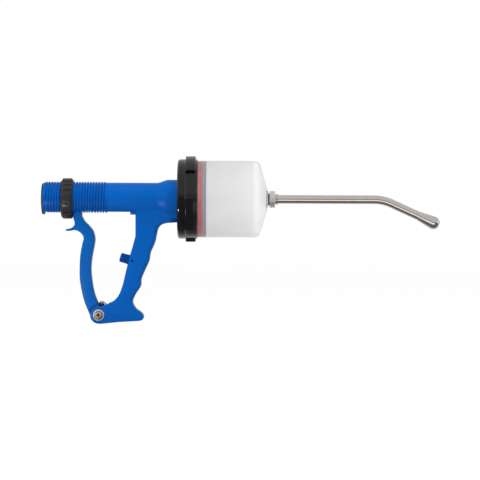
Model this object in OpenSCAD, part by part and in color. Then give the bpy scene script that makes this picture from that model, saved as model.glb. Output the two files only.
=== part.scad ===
// Hand drencher: a pistol-grip liquid doser for livestock.
// The barrel axis is the X axis, with the nozzle towards +X and +Z up.
// The origin is the centre of the rear cap's outer face. Millimetres and degrees.

/* [Body tube] */
// Outside radius of the body tube
tube_r = 16; // [14:0.5:18]
// Wall of the body tube
tube_wall = 2.5; // [2:0.1:3]
// Plain band between the rear end and the first thread ridge
thread_lead = 2.3; // [1.5:0.1:5]
// Length of the threaded stretch
thread_len = 64; // [40:1:66]
// Pitch of the dose thread
thread_pitch = 2.76; // [2:0.01:4]
// Height of a thread ridge
ridge_h = 0.75; // [0.4:0.05:1]
// How far the flare starts behind the grip's reach
flare_back = 3.7; // [0:0.1:8]
// Length of the flare
flare_len = 13; // [8:1:16]
// Rise of the flare above the tube
flare_rise = 3.1; // [2:0.1:6]
// Length of the flared neck
neck_len = 11.4; // [9:0.2:16]

/* [Rear cap] */
// Thickness of the rear cap's rim
cap_thick = 1.6; // [1.2:0.1:3]
// Length of the plug inside the tube
cap_plug_len = 5; // [3:0.5:7]
// Wall of the plug around the port that the feed hose passes through
port_wall = 4.45; // [3:0.05:5]
// How far the rim lies inside the tube's outside
cap_drop = 0.8; // [0.4:0.1:1.2]
// Radius of the rim's outer edge
cap_edge = 0.5; // [0.3:0.1:1]
// Length of the tongue that closes the end of the tube's slot
tongue_len = 2.8; // [2:0.1:5]

/* [Dose ring] */
// Wall of the dose ring over the thread's crests
ring_wall = 3.2; // [2.4:0.1:6]
// Width of the dose ring
ring_w = 12.4; // [10:0.2:16]
// Radius of the dose ring's shoulders
ring_shoulder = 3.2; // [1:0.2:4]
// Number of grip flutes
flute_count = 20; // [12:1:28]
// Radius of a grip flute
flute_r = 1.5; // [0.8:0.1:2]
// Thickness of the friction seal inside the ring
ring_seal_w = 2.2; // [1.5:0.1:3]
// Wall of the friction seal inside the ring
ring_seal_wall = 1.4; // [1:0.1:1.6]

/* [Lever] */
// Distance of the pivot below the barrel axis
pivot_drop = 116.1; // [108:0.5:125]
// Distance of the pivot from the rear face
pivot_x = 57.6; // [55:0.1:60]
// How far the drive pins rest behind the pivot
pin_lead = 21.35; // [20:0.05:22.5]
// Swing of the lever
lever_sweep = 23; // [15:0.5:23.5]
// Width of the lever across its flat sides
lever_w = 17.6; // [16.8:0.1:18.4]
// Width of the lever's neck along the barrel
neck_w = 6.9; // [6:0.1:8]
// Bow of the lever, which its outline follows
lever_bow = 20; // [18:0.5:21]
// Radius of the lever's eye at the pivot
eye_r = 9; // [8.4:0.1:9.4]
// Thickness of one cheek of the lever's foot
cheek_t = 3; // [2.4:0.1:3.4]
// Radius of a drive pin
pin_r = 2.2; // [1.6:0.1:2.4]

/* [Grip] */
// Width of the grip across its flat sides
grip_w = 22; // [21:0.5:26]
// Reach of the grip ahead of the pivot, which its outline follows
grip_reach = 60; // [58:0.5:61]
// Radius of the grip's ears at the pivot
ear_r = 9.2; // [8.8:0.1:10]
// Thickness of one ear
ear_t = 2.7; // [2.2:0.1:3]

/* [Pivot] */
// Radius of the pivot screw's shank
screw_r = 3; // [2:0.1:3.2]
// Ledge of the pivot screw's head around its shank
screw_ledge = 1.6; // [1:0.1:2.6]
// Height of the pivot screw's head
screw_head_h = 2.6; // [2:0.1:4]
// Radius of the socket in the screw's head
socket_r = 1.5; // [1:0.1:2]
// Ledge of the pivot washers around the screw
washer_ledge = 2.9; // [2.2:0.1:4]
// Thickness of the pivot washers
washer_t = 1; // [0.5:0.1:1.6]
// Height of the pivot nut
nut_h = 4; // [3:0.2:6]
// Wall of the spacer between the lever's cheeks
spacer_wall = 1.1; // [0.8:0.1:1.3]

/* [Lever spring] */
// Radius of the spring's wire
wire_r = 0.8; // [0.6:0.05:0.9]
// Radius of the coil at the middle of the wire
coil_r = 3.95; // [3.6:0.05:4.2]
// Least pitch of the coil
coil_pitch = 2.2; // [2.1:0.05:2.4]
// Room between the coil and the lever's cheeks
coil_room = 0.7; // [0.4:0.05:1]
// How far the coil lies ahead of the pivot
coil_ahead = 3.2; // [2.8:0.1:3.6]
// How far the coil lies above the pivot
coil_above = 8.9; // [8.7:0.1:9.4]
// Length of the leg in the lever
lever_leg = 18; // [14:0.5:22]
// Length of the leg in the grip
grip_leg = 14; // [10:0.5:18]

/* [Stop knob] */
// Radius of the stop knob
knob_r = 4.2; // [3.6:0.1:5]
// Length of the stop knob's fluted head
knob_len = 6.3; // [5:0.1:7]
// Ledge of the collar behind the head
knob_ledge = 0.8; // [0.4:0.1:1.6]
// Thickness of the collar behind the head
knob_collar_t = 1.6; // [1:0.1:2.4]
// Number of flutes on the head
knob_flutes = 12; // [8:1:16]
// Radius of a flute on the head
knob_flute_r = 0.55; // [0.3:0.05:0.7]
// Radius of the stop screw
stop_r = 2.4; // [2:0.1:3]
// Length of the stop screw inside the grip
stop_len = 15; // [11:0.5:16]
// Depth of the waist in the stop screw
stop_waist = 0.9; // [0.5:0.1:1.2]
// Distance that the stop knob screws out
stop_travel = 1.5; // [0.5:0.1:1.5]
// Radius of the pin that keeps the stop screw
stop_pin_r = 1.2; // [0.8:0.1:1.6]
// Depth of the keeper pin below the grip's rear face
stop_pin_depth = 4.2; // [3.6:0.1:5.5]

/* [Lock ring] */
// How far the lock ring stands over the barrel
lock_over = 1.3; // [1:0.1:4]
// Width of the lock ring
lock_w = 20; // [17:0.5:24]
// Wall of the lock ring
lock_wall = 2.6; // [2.2:0.1:3]
// Thickness of the lock ring's inner lip
lock_lip = 3.2; // [2.4:0.1:4]
// Height of the lock ring's lugs
lug_h = 3.5; // [2:0.1:6]
// Width of the lugs
lug_w = 10; // [7:0.5:12]
// Distance of the lugs from the ring's front face
lug_back = 2; // [1:0.5:4]
// Number of lugs
lug_count = 4; // [3:1:6]
// Angle that one lug covers
lug_angle = 51; // [30:1:60]
// Turn of the first lug from the side that faces -Y
lug_turn = 66; // [0:1:90]
// Radius of the ring's rear edge
lock_edge = 2; // [1:0.2:2.4]
// Chamfer of the ring's front edge
lock_chamfer = 1.4; // [0.8:0.2:2]

/* [Barrel] */
// Outside radius of the barrel
barrel_r = 38.2; // [30:0.1:48]
// Wall of the barrel
barrel_wall = 3.8; // [3.6:0.1:4.4]
// Radius of the barrel's front corner
barrel_round = 6; // [5:0.5:8]
// Slope of the barrel's front cone, as an angle
cone_angle = 16.5; // [10:0.5:22]
// Wall of the spout's face around the adapter
spout_wall = 2.4; // [1.8:0.1:4]
// Wall of the boss inside the spout
boss_wall = 3; // [2:0.1:5]
// Room in front of the piston at the end of its stroke
end_room = 0.7; // [0.5:0.1:3]
// Thickness of the gasket behind the barrel
gasket_t = 1.1; // [0.8:0.1:2]
// Thickness of the front plate
plate_t = 4; // [3:0.2:6]
// Length of the front plate's spigot in the tube
spigot_len = 12; // [8:0.5:16]

/* [Piston] */
// Radius of the piston rod
rod_r = 4; // [3.6:0.1:4.2]
// Wall of the piston rod
rod_wall = 1.5; // [1.2:0.1:1.6]
// Room behind the piston at rest
rest_room = 4.5; // [4:0.1:8]
// Thickness of the hub's flange
hub_flange_t = 3.5; // [2.5:0.1:5]
// Ledge of the hub's flange around the hub
hub_ledge = 4; // [2.5:0.1:7]
// Wall of the hub around the inlet chamber
hub_wall = 2.8; // [2.4:0.1:4]
// Thickness of the rear piston plate
rear_plate_t = 5; // [3:0.2:6]
// Thickness of the piston seal
piston_seal_t = 4.2; // [3:0.2:6]
// Thickness of the front piston plate
front_plate_t = 3.8; // [3:0.2:6]
// Height of the piston nut
piston_nut_h = 3.6; // [3:0.2:5]
// Wall of the piston nut at its corners
piston_nut_wall = 3.5; // [2.8:0.1:5]
// Room between the piston plates and the barrel's wall
plate_room = 0.8; // [0.5:0.1:1.5]
// Length of the crosshead's block
cross_len = 15; // [13:0.5:18]
// Height of the crosshead's block
cross_h = 15; // [12:0.5:16]
// Depth of the crosshead's grooves
groove_depth = 1.4; // [1:0.1:1.8]
// Thickness of the crosshead's guide collar
guide_t = 6; // [4:0.5:8]
// Radius of the hose spigot at the rod's tail
hose_r = 5; // [4.4:0.1:5.6]
// Length of the hose spigot
hose_len = 12; // [9:0.5:12.5]
// Wall of the hose spigot's shoulder around the rod
hose_stop_wall = 2.45; // [1.6:0.05:4]
// Thickness of the hose spigot's shoulder
hose_stop_t = 5; // [3.5:0.5:6]

/* [Valves] */
// Radius of the inlet ball
inlet_ball_r = 3.4; // [3:0.1:4.5]
// Ledge of the inlet seat under its ball
inlet_ledge = 0.9; // [0.6:0.1:1.4]
// Radius of the outlet ball
outlet_ball_r = 2.8; // [2.5:0.1:3.4]
// Ledge of the outlet seat under its ball
outlet_ledge = 0.8; // [0.5:0.1:1.2]
// Room around both balls
ball_room = 0.6; // [0.5:0.05:0.8]
// Length of both seats
seat_len = 2; // [1.5:0.1:3]
// Radius of the valve springs' wire
valve_wire_r = 0.3; // [0.25:0.05:0.35]
// Full turns of a valve spring
valve_turns = 4; // [3:1:4]
// Thickness of the valve springs' retainers
retainer_t = 1.2; // [0.8:0.1:1.6]

/* [Nozzle] */
// Radius of the nozzle tube
nozzle_r = 4.35; // [4:0.05:4.5]
// Wall of the nozzle tube
nozzle_wall = 1; // [0.6:0.1:1.4]
// Straight length of the nozzle tube, from the hexagon
nozzle_len = 99; // [60:1:160]
// Radius of the nozzle's bend
bend_r = 43; // [30:1:80]
// Angle of the nozzle's bend
bend_angle = 24.5; // [10:0.5:45]
// Length of the tube after the bend
drop_len = 30; // [20:1:60]
// Wall of the hexagon at its corners, around the nozzle tube
hex_wall = 4; // [3:0.1:6]
// Height of the hexagon
hex_h = 5.6; // [5:0.2:8]
// Wall of the nozzle seal around the spigot
nozzle_seal_wall = 0.9; // [0.6:0.1:1.6]
// Thickness of the nozzle seal
nozzle_seal_t = 1.4; // [0.8:0.1:2]
// Wall of the ferrule around the nozzle tube
ferrule_wall = 1.05; // [0.8:0.05:2]
// Length of the ferrule
ferrule_len = 3; // [2:0.2:6]
// Swell of the nozzle tip over the tube
tip_swell = 2.15; // [1.2:0.05:4]
// Length of the nozzle tip from its seam to the middle of its round end
tip_len = 15.6; // [12:0.2:20]
// Depth of the nozzle tube inside the tip
tip_socket = 5; // [3:0.5:8]
// Radius of the outlet in the tip
outlet_r = 2.5; // [2:0.1:3]

/* [Hidden] */
$fn = 96;

// Clearance of a shaft in its hole
fit = 0.05;
// Clearance between pieces that move past each other
run = 0.3;
// Clearance of the lever in the tube's slot and between the ears
slot_room = 0.5;
// Gap between a resting ball or spring and its seat
rest_gap = 0.12;
// Overrun of every cut
over = 1;
// Sides of a hexagon
hex_sides = 6;
// Growth of the nozzle's wall at its bend, which the straight lengths run into
bend_grow = 0.03;
// Steps of a curve between two of its points
curve_steps = 4;

// Places along the barrel axis
tube_bore_r = tube_r - tube_wall;
port_r = tube_bore_r - fit - port_wall;
crest_r = tube_r + ridge_h;
flare_r = tube_r + flare_rise;
flare_x = pivot_x + grip_reach - flare_back;
neck_x = flare_x + flare_len + neck_len;
lock_x = neck_x - run - lock_lip;
lock_front_x = lock_x + lock_w;
plate_front_x = neck_x + plate_t;
barrel_x = plate_front_x + gasket_t;
lock_r = barrel_r + lock_over;
lock_bore_r = lock_r - lock_wall;
lug_r = lock_r + lug_h;
collar_r = lock_bore_r - run;
bore_r = barrel_r - barrel_wall;

// The lever's swing, seen from its pivot
pin_reach = sqrt(pin_lead * pin_lead + pivot_drop * pivot_drop);
rest_angle = atan(pin_lead / pivot_drop);
stroke = pin_reach * sin(lever_sweep - rest_angle) + pin_lead;
pin_x = pivot_x - pin_lead;
slot_end_room = 1.6;
slot_end_x = pin_x + stroke + neck_w / 2 + slot_end_room;
slot_w = lever_w + 2 * slot_room;

// The piston's stack along the axis
inlet_seat_r = inlet_ball_r - inlet_ledge;
inlet_room_r = inlet_ball_r + ball_room;
hub_r = inlet_room_r + hub_wall;
hub_flange_r = hub_r + hub_ledge;
hub_x = barrel_x + rest_room;
rear_plate_x = hub_x + hub_flange_t;
piston_seal_x = rear_plate_x + rear_plate_t;
front_plate_x = piston_seal_x + piston_seal_t;
piston_nut_x = front_plate_x + front_plate_t;
piston_r = bore_r - plate_room;
hub_nose = 0.8;
hub_end_x = piston_nut_x + piston_nut_h + hub_nose;
rod_socket = 6;
inlet_seat_x = hub_x + rod_socket;
inlet_room_x = inlet_seat_x + seat_len;
rod_bore_r = rod_r - rod_wall;

// The outlet valve, the nozzle adapter around it and the spout around that
outlet_seat_r = outlet_ball_r - outlet_ledge;
outlet_room_r = outlet_ball_r + ball_room;
adapter_wall = 1.55;
spout_bore_r = outlet_room_r + adapter_wall + fit;
spout_r = spout_bore_r + spout_wall;
boss_r = spout_bore_r + boss_wall;

// The barrel's front end
corner_x = piston_nut_x + stroke + end_room;
cone_slope = tan(cone_angle);
corner_turn = 90 - cone_angle;
cone_out = [barrel_r - barrel_round * (1 - cos(corner_turn)), corner_x + barrel_round * sin(corner_turn)];
inner_round = barrel_round - barrel_wall;
cone_in = [bore_r - inner_round * (1 - cos(corner_turn)), corner_x + inner_round * sin(corner_turn)];
spout_x = cone_out[1] + (cone_out[0] - spout_r) * cone_slope;
boss_room = 1.2;
boss_x = hub_end_x + stroke + boss_room;

// The nozzle
nozzle_seal_r = spout_bore_r + nozzle_seal_wall;
hex_w = 2 * (nozzle_r + fit + hex_wall);
ferrule_r = nozzle_r + fit + ferrule_wall;
tip_r = nozzle_r + tip_swell;
adapter_x = boss_x + rest_gap;
outlet_room_x = adapter_x + seat_len;
hex_x = spout_x + nozzle_seal_t;
ferrule_x = hex_x + hex_h;
tube_socket = 2;
nozzle_x = ferrule_x - tube_socket;
bend_x = ferrule_x + nozzle_len;
outlet_stop_x = nozzle_x - retainer_t;

// The valve balls and their springs
inlet_ball_x = inlet_room_x + sqrt(inlet_ball_r ^ 2 - inlet_seat_r ^ 2) + rest_gap;
outlet_ball_x = outlet_room_x + sqrt(outlet_ball_r ^ 2 - outlet_seat_r ^ 2) + rest_gap;
inlet_coil_r = inlet_ball_r - 2 * valve_wire_r;
outlet_coil_r = outlet_ball_r - 2 * valve_wire_r;
inlet_stop_x = hub_end_x - retainer_t;

// The dose ring on its thread
ring_front_x = pin_x - neck_w / 2 - run;
ring_x = ring_front_x - ring_w;
ring_bore_r = crest_r + run;
ring_r = ring_bore_r + ring_wall;
ring_seal_r = ring_bore_r + ring_seal_wall;

// Widths across the pivot, from the middle
ear_in = grip_w / 2 - ear_t;
cheek_out = ear_in - run;
cheek_in = cheek_out - cheek_t;
coil_reach = sqrt(coil_ahead ^ 2 + coil_above ^ 2);
foot_room_r = coil_reach + coil_r + wire_r + slot_room;
shoulder_room = 1.2;
shoulder_r = max(eye_r, ear_r) + shoulder_room;
foot_gap_r = shoulder_r + slot_room;
spacer_r = screw_r + fit + spacer_wall;
screw_head_r = screw_r + screw_ledge;
washer_r = screw_r + washer_ledge;

// The lever's prongs around the crosshead
prong_t = 2.5;
prong_in = lever_w / 2 - prong_t;
prong_top = 3.6;
fork_depth = 12.6;
pin_tip = 1.4;
cross_w = 2 * (prong_in - run);
guide_r = tube_bore_r - run;

// The hose spigot at the rod's tail
hose_x = cap_thick + cap_plug_len + slot_room;
hose_stop_x = hose_x + hose_len;
hose_stop_r = rod_r + fit + hose_stop_wall;
rod_x = hose_stop_x + run;

// Outlines of the lever, as shares of its bow and of the pivot's drop, measured from the pivot
spur_shares = [
  [-1.235, 0.799], [-1.3, 0.766], [-1.465, 0.746], [-1.685, 0.7365], [-1.69, 0.7235],
  [-1.475, 0.725], [-1.26, 0.73], [-1.065, 0.7225], [-0.88, 0.6995], [-0.775, 0.66],
  [-0.865, 0.61], [-0.96, 0.5115], [-0.975, 0.408], [-0.945, 0.2885], [-0.755, 0.1325], [-0.45, 0]
];
palm_shares = [
  [0, 0.077], [-0.11, 0.1155], [-0.31, 0.21], [-0.435, 0.3445], [-0.455, 0.418], [-0.395, 0.504],
  [-0.26, 0.6115], [-0.23, 0.663], [-0.325, 0.7225], [-0.56, 0.772], [-0.77, 0.806]
];
neck_foot_share = 0.85;

// Outlines of the grip, as shares of its reach and of the pivot's drop, measured from the pivot
rear_shares = [
  [0.603, 0.641], [0.548, 0.591], [0.512, 0.529], [0.445, 0.391], [0.378, 0.262],
  [0.315, 0.176], [0.243, 0.1275], [0.173, 0.105], [0.108, 0.0895], [0.033, 0.078]
];
finger_shares = [
  [0.033, -0.077], [0.338, -0.058], [0.65, -0.0465], [0.707, -0.038], [0.727, -0.012], [0.69, 0.0225],
  [0.6, 0.057], [0.547, 0.1155], [0.6, 0.1895], [0.678, 0.253], [0.69, 0.315], [0.757, 0.395],
  [0.817, 0.47], [0.843, 0.5375], [0.89, 0.5875], [0.932, 0.641], [0.958, 0.71], [0.983, 0.751],
  [1.037, 0.7795], [1.125, 0.793]
];
// Height of the gusset's front end, as a share of the pivot's drop, and its gap to the lock ring
gusset_share = 0.798;
gusset_room = 1.7;
// Height of the stop knob on the grip's rear face, as a share of the pivot's drop
knob_share = 0.4755;
// Tilt of the stop knob's axis
knob_tilt = 16.5;

// The stop knob's place on the straight stretch of the grip's rear face
face_high_share = rear_shares[2];
face_low_share = rear_shares[3];
face_share = (knob_share - face_low_share[1]) / (face_high_share[1] - face_low_share[1]);
knob_x = pivot_x + grip_reach * (face_low_share[0] + face_share * (face_high_share[0] - face_low_share[0]));
knob_z = (knob_share - 1) * pivot_drop;
knob_collar_r = knob_r + knob_ledge;
knob_socket = 4;
pin_recess = 0.4;

// A point on the smooth curve through four points, between the middle two
function between(a, b, c, d, t) =
  (2 * b + (c - a) * t + (2 * a - 5 * b + 4 * c - d) * t ^ 2 + (3 * b - a - 3 * c + d) * t ^ 3) / 2;

// A smooth curve through a list of points
function curve(p) = [
  for (i = [0 : len(p) - 2])
    for (s = [0 : curve_steps - 1])
      between(p[max(i - 1, 0)], p[i], p[i + 1], p[min(i + 2, len(p) - 1)], s / curve_steps),
  p[len(p) - 1]
];

// Shares turned into places, measured from the pivot
function placed(shares, size) = [for (s = shares) [s[0] * size, s[1] * pivot_drop]];

// An arc of a profile: radius from the axis first, place along it second
function arc(middle, r, from, to) = [
  for (i = [0 : 2 * curve_steps])
    middle + r * [cos(from + (to - from) * i / (2 * curve_steps)), sin(from + (to - from) * i / (2 * curve_steps))]
];

// A round piece along the barrel axis, from a profile of radius and place
module lathe(profile) {
  rotate([0, 90, 0]) rotate_extrude() polygon(profile);
}

// A plain round bar along the barrel axis
module bar_x(from, to, r) {
  translate([from, 0, 0]) rotate([0, 90, 0]) cylinder(h = to - from, r = r);
}

// A ring along the barrel axis
module hoop_x(from, to, inner, outer) {
  lathe([[inner, from], [outer, from], [outer, to], [inner, to]]);
}

// A hexagonal bar along the barrel axis, one corner up
module hex_bar_x(from, to, width) {
  translate([from, 0, 0]) rotate([0, 90, 0]) cylinder(h = to - from, r = width / 2, $fn = hex_sides);
}

// A round bar across the object at the pivot, by its two ends
module bar_y(from, to, r) {
  translate([pivot_x, from, -pivot_drop]) rotate([-90, 0, 0]) cylinder(h = to - from, r = r);
}

// A flat outline measured from the pivot, given its width across the object
module slab(outline, width) {
  translate([pivot_x, 0, -pivot_drop])
    rotate([90, 0, 0]) linear_extrude(width, center = true) polygon(outline);
}

// Both sides of the object, for a piece drawn on the +Y side
module both_sides() {
  children();
  mirror([0, 1, 0]) children();
}

// The stop knob's axis: children are drawn along +Z, into the grip from its rear face
module on_knob_axis() {
  translate([knob_x, 0, knob_z]) rotate([0, 90 + knob_tilt, 0]) children();
}

// A wire along a path, as triangles between rings: up is a direction that the path never runs along
wire_sides = 6;
function unit(v) = v / norm(v);
function wire_ring(p, i, r, up) =
  let (
    ahead = unit(p[min(i + 1, len(p) - 1)] - p[max(i - 1, 0)]),
    side = unit(cross(ahead, up)),
    top = cross(side, ahead)
  )
  [for (k = [0 : wire_sides - 1]) p[i] + r * (cos(360 * k / wire_sides) * side + sin(360 * k / wire_sides) * top)];

module wire(path, r, up) {
  count = len(path);
  points = [for (i = [0 : count - 1]) each wire_ring(path, i, r, up)];
  last = (count - 1) * wire_sides;
  faces = concat(
    [for (i = [0 : count - 2]) for (k = [0 : wire_sides - 1])
      let (a = i * wire_sides + k, b = i * wire_sides + (k + 1) % wire_sides)
      each [[a, b, a + wire_sides], [b, b + wire_sides, a + wire_sides]]],
    [for (k = [1 : wire_sides - 2]) [0, k + 1, k]],
    [for (k = [1 : wire_sides - 2]) [last, last + k, last + k + 1]]
  );
  polyhedron(points, faces);
}

// Least gap of a wire to itself: points within half a turn of each other are left out
function self_gap(path, r, half_turn) = min([
  for (i = [0 : len(path) - 1])
    for (j = [i + half_turn : 1 : len(path) - 1])
      norm(path[j] - path[i])
]) - 2 * r;

// Rings of wire for one turn
turn_rings = 8;

// The lever spring: a leg from the lever, the coil across the object, and a leg into the grip
leg_angle = 210;
coil_w = 2 * (cheek_in - wire_r - coil_room);
coil_turns = floor(coil_w / coil_pitch - (270 - leg_angle) / 360);
coil_sweep = 360 * coil_turns + 270 - leg_angle;
coil_steps = coil_turns * turn_rings + 1;
coil_at = [pivot_x + coil_ahead, -pivot_drop + coil_above];
function coil_point(turn, y) = [coil_at[0] + coil_r * cos(turn), y, coil_at[1] + coil_r * sin(turn)];
function coil_way(turn) = [-sin(turn), 0, cos(turn)];
spring_path = concat(
  [coil_point(leg_angle, -coil_w / 2) - lever_leg * coil_way(leg_angle)],
  [for (i = [0 : coil_steps]) coil_point(leg_angle + coil_sweep * i / coil_steps, coil_w * (i / coil_steps - 1 / 2))],
  [coil_point(leg_angle + coil_sweep, coil_w / 2) + grip_leg * coil_way(leg_angle + coil_sweep)]
);

// A valve spring along the barrel axis
function valve_path(from, to, r) = [
  for (i = [0 : valve_turns * turn_rings])
    let (s = i / (valve_turns * turn_rings), turn = 360 * valve_turns * s)
    [from + (to - from) * s, r * cos(turn), r * sin(turn)]
];
function spring_start(ball_x, ball_r, r) =
  ball_x + sqrt((ball_r + valve_wire_r + rest_gap) ^ 2 - r ^ 2);
inlet_path = valve_path(
  spring_start(inlet_ball_x, inlet_ball_r, inlet_coil_r),
  inlet_stop_x - valve_wire_r - rest_gap, inlet_coil_r
);
outlet_path = valve_path(
  spring_start(outlet_ball_x, outlet_ball_r, outlet_coil_r),
  outlet_stop_x - valve_wire_r - rest_gap, outlet_coil_r
);

echo(str("stroke of the piston ", stroke));
echo(str("least gap in the lever spring ", self_gap(spring_path, wire_r, turn_rings / 2)));
echo(str("least gap in the inlet spring ", self_gap(inlet_path, valve_wire_r, turn_rings / 2)));
echo(str("least gap in the outlet spring ", self_gap(outlet_path, valve_wire_r, turn_rings / 2)));

// The body's outside along the barrel axis: plain band, ridges, plain tube, flare and neck
ridge_foot_share = 0.3;
ridge_top_share = 0.2;
ridge_count = floor(thread_len / thread_pitch);
thread_x = cap_thick + thread_lead;
ridge_profile = [
  for (i = [0 : ridge_count - 1])
    let (x = thread_x + i * thread_pitch)
    each [
      [tube_r, x],
      [crest_r, x + ridge_foot_share * thread_pitch],
      [crest_r, x + (ridge_foot_share + ridge_top_share) * thread_pitch],
      [tube_r, x + (2 * ridge_foot_share + ridge_top_share) * thread_pitch]
    ]
];
flare_profile = [
  for (i = [0 : 2 * curve_steps])
    let (s = i / (2 * curve_steps))
    [tube_r + (flare_r - tube_r) * (1 - cos(180 * s)) / 2, flare_x + flare_len * s]
];
body_profile = concat(
  [[0, cap_thick], [tube_r, cap_thick]],
  ridge_profile,
  flare_profile,
  [[flare_r, neck_x], [0, neck_x]]
);

// The grip's outline: down its rear face, round the pivot, along the heel and up the finger side
grip_rear = placed(rear_shares, grip_reach);
gusset_x = lock_x - gusset_room - pivot_x;
grip_fingers = concat(placed(finger_shares, grip_reach), [[gusset_x, gusset_share * pivot_drop]]);
grip_outline = concat(
  [[grip_rear[0][0], pivot_drop]],
  curve(grip_rear),
  [[0, 0]],
  curve(grip_fingers),
  [[gusset_x, pivot_drop]]
);

// The lever's outline: down its spur side, round the pivot, up its palm side to the prongs
neck_rear = -pin_lead - neck_w / 2;
neck_front = -pin_lead + neck_w / 2;
lever_top = pivot_drop + prong_top;
lever_rear = concat([[neck_rear, neck_foot_share * pivot_drop]], placed(spur_shares, lever_bow));
lever_front = concat(placed(palm_shares, lever_bow), [[neck_front, neck_foot_share * pivot_drop]]);
lever_outline = concat(
  [[neck_rear, lever_top]],
  curve(lever_rear),
  [[0, 0]],
  curve(lever_front),
  [[neck_front, lever_top]]
);

module main_body() {
  color("royalblue")
    difference() {
      union() {
        lathe(body_profile);
        slab(grip_outline, grip_w);
        bar_y(-grip_w / 2, grip_w / 2, ear_r);
      }
      bar_x(cap_thick - over, neck_x + over, tube_bore_r);
      translate([cap_thick - over, -slot_w / 2, -crest_r - over])
        cube([slot_end_x - cap_thick + over, slot_w, crest_r + over]);
      bar_y(-ear_in, ear_in, foot_gap_r);
      translate([coil_ahead, 0, coil_above]) bar_y(-cheek_in, cheek_in, coil_r + wire_r + slot_room);
      bar_y(-grip_w / 2 - over, grip_w / 2 + over, screw_r + fit);
      translate([coil_at[0], coil_w / 2, coil_at[1] - coil_r])
        rotate([0, 90, 0]) cylinder(h = grip_leg + run, r = wire_r + run);
      on_knob_axis() translate([0, 0, -over]) cylinder(h = stop_len + run + over, r = stop_r + run);
      on_knob_axis() translate([0, 0, stop_pin_depth])
        rotate([90, 0, 0]) cylinder(h = grip_w / 2 + over, r = stop_pin_r + fit);
    }
}

module rear_cap() {
  color("#161616") {
    lathe(concat(
      [[port_r, 0]],
      arc([tube_r - cap_drop - cap_edge, cap_edge], cap_edge, -90, 0),
      [
        [tube_r - cap_drop, cap_thick], [tube_bore_r - fit, cap_thick],
        [tube_bore_r - fit, cap_thick + cap_plug_len], [port_r, cap_thick + cap_plug_len]
      ]
    ));
    intersection() {
      hoop_x(0, tongue_len, (port_r + tube_bore_r) / 2, tube_r);
      translate([-over, run - slot_w / 2, -crest_r])
        cube([tongue_len + 2 * over, slot_w - 2 * run, crest_r]);
    }
  }
}

module front_plate() {
  color("#1d1d1f")
    lathe([
      [rod_r + fit, neck_x - spigot_len], [tube_bore_r - fit, neck_x - spigot_len],
      [tube_bore_r - fit, neck_x], [collar_r, neck_x],
      [collar_r, plate_front_x], [rod_r + fit, plate_front_x]
    ]);
}

// A lug's wedge, which opens towards -Y
lug_x = lock_front_x - lug_back - lug_w;
lug_wedge = 2 * lug_r * [[0, 0], [-1, -tan(lug_angle / 2)], [-1, tan(lug_angle / 2)]];

module lock_ring() {
  color("#121212")
    difference() {
      union() {
        lathe(concat(
          [[flare_r + run, lock_x]],
          arc([lock_r - lock_edge, lock_x + lock_edge], lock_edge, -90, 0),
          [
            [lock_r, lock_front_x - lock_chamfer], [lock_r - lock_chamfer, lock_front_x],
            [flare_r + run, lock_front_x]
          ]
        ));
        intersection() {
          hoop_x(lug_x, lug_x + lug_w, lock_r - lock_wall / 2, lug_r);
          for (i = [0 : lug_count - 1])
            rotate([lug_turn + i * 360 / lug_count, 0, 0])
              translate([lug_x - over, 0, 0]) rotate([90, 0, 90]) linear_extrude(lug_w + 2 * over)
                polygon(lug_wedge);
        }
      }
      bar_x(lock_x + lock_lip, lock_front_x + over, lock_bore_r);
    }
}

module barrel() {
  color("#eef2f4", 0.6)
    lathe(concat(
      [
        [bore_r, barrel_x], [collar_r, barrel_x], [collar_r, lock_front_x + run],
        [barrel_r, lock_front_x + run]
      ],
      arc([barrel_r - barrel_round, corner_x], barrel_round, 0, corner_turn),
      [
        [spout_r, spout_x], [spout_bore_r, spout_x], [spout_bore_r, boss_x], [boss_r, boss_x],
        [boss_r, cone_in[1] + (cone_in[0] - boss_r) * cone_slope]
      ],
      arc([bore_r - inner_round, corner_x], inner_round, corner_turn, 0)
    ));
}

module barrel_gasket() {
  color("#2a2a2a") hoop_x(plate_front_x, barrel_x, bore_r, collar_r);
}

head_y = grip_w / 2 + washer_t + screw_head_h;

module pivot_screw() {
  color("#b9b4ac")
    difference() {
      union() {
        bar_y(-head_y, grip_w / 2 + washer_t + nut_h, screw_r);
        bar_y(-head_y, -grip_w / 2 - washer_t, screw_head_r);
      }
      bar_y(-head_y - over, -head_y + screw_head_h / 2, socket_r);
    }
}

module pivot_nut() {
  color("#b9b4ac")
    difference() {
      translate([pivot_x, grip_w / 2 + washer_t, -pivot_drop])
        rotate([-90, 0, 0]) cylinder(h = nut_h, r = washer_r, $fn = hex_sides);
      bar_y(grip_w / 2 + washer_t - over, grip_w / 2 + washer_t + nut_h + over, screw_r + fit);
    }
}

module pivot_washers() {
  color("#d8d5d0")
    both_sides()
      difference() {
        bar_y(grip_w / 2, grip_w / 2 + washer_t, washer_r);
        bar_y(grip_w / 2 - over, grip_w / 2 + washer_t + over, screw_r + fit);
      }
}

module pivot_spacer() {
  color("#a8a49d")
    difference() {
      bar_y(-cheek_in + run, cheek_in - run, spacer_r);
      bar_y(-cheek_in, cheek_in, screw_r + fit);
    }
}

module lever_spring() {
  color("#c9c5be") wire(spring_path, wire_r, [0, 1, 0]);
}

module stop_pin() {
  color("#173d86")
    on_knob_axis() translate([0, -stop_r + stop_waist - run, stop_pin_depth])
      rotate([90, 0, 0])
        cylinder(h = grip_w / 2 - pin_recess - stop_r + stop_waist - run, r = stop_pin_r);
}

module nozzle_seal() {
  color("#141414") hoop_x(spout_x, hex_x, spout_bore_r, nozzle_seal_r);
}

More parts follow.
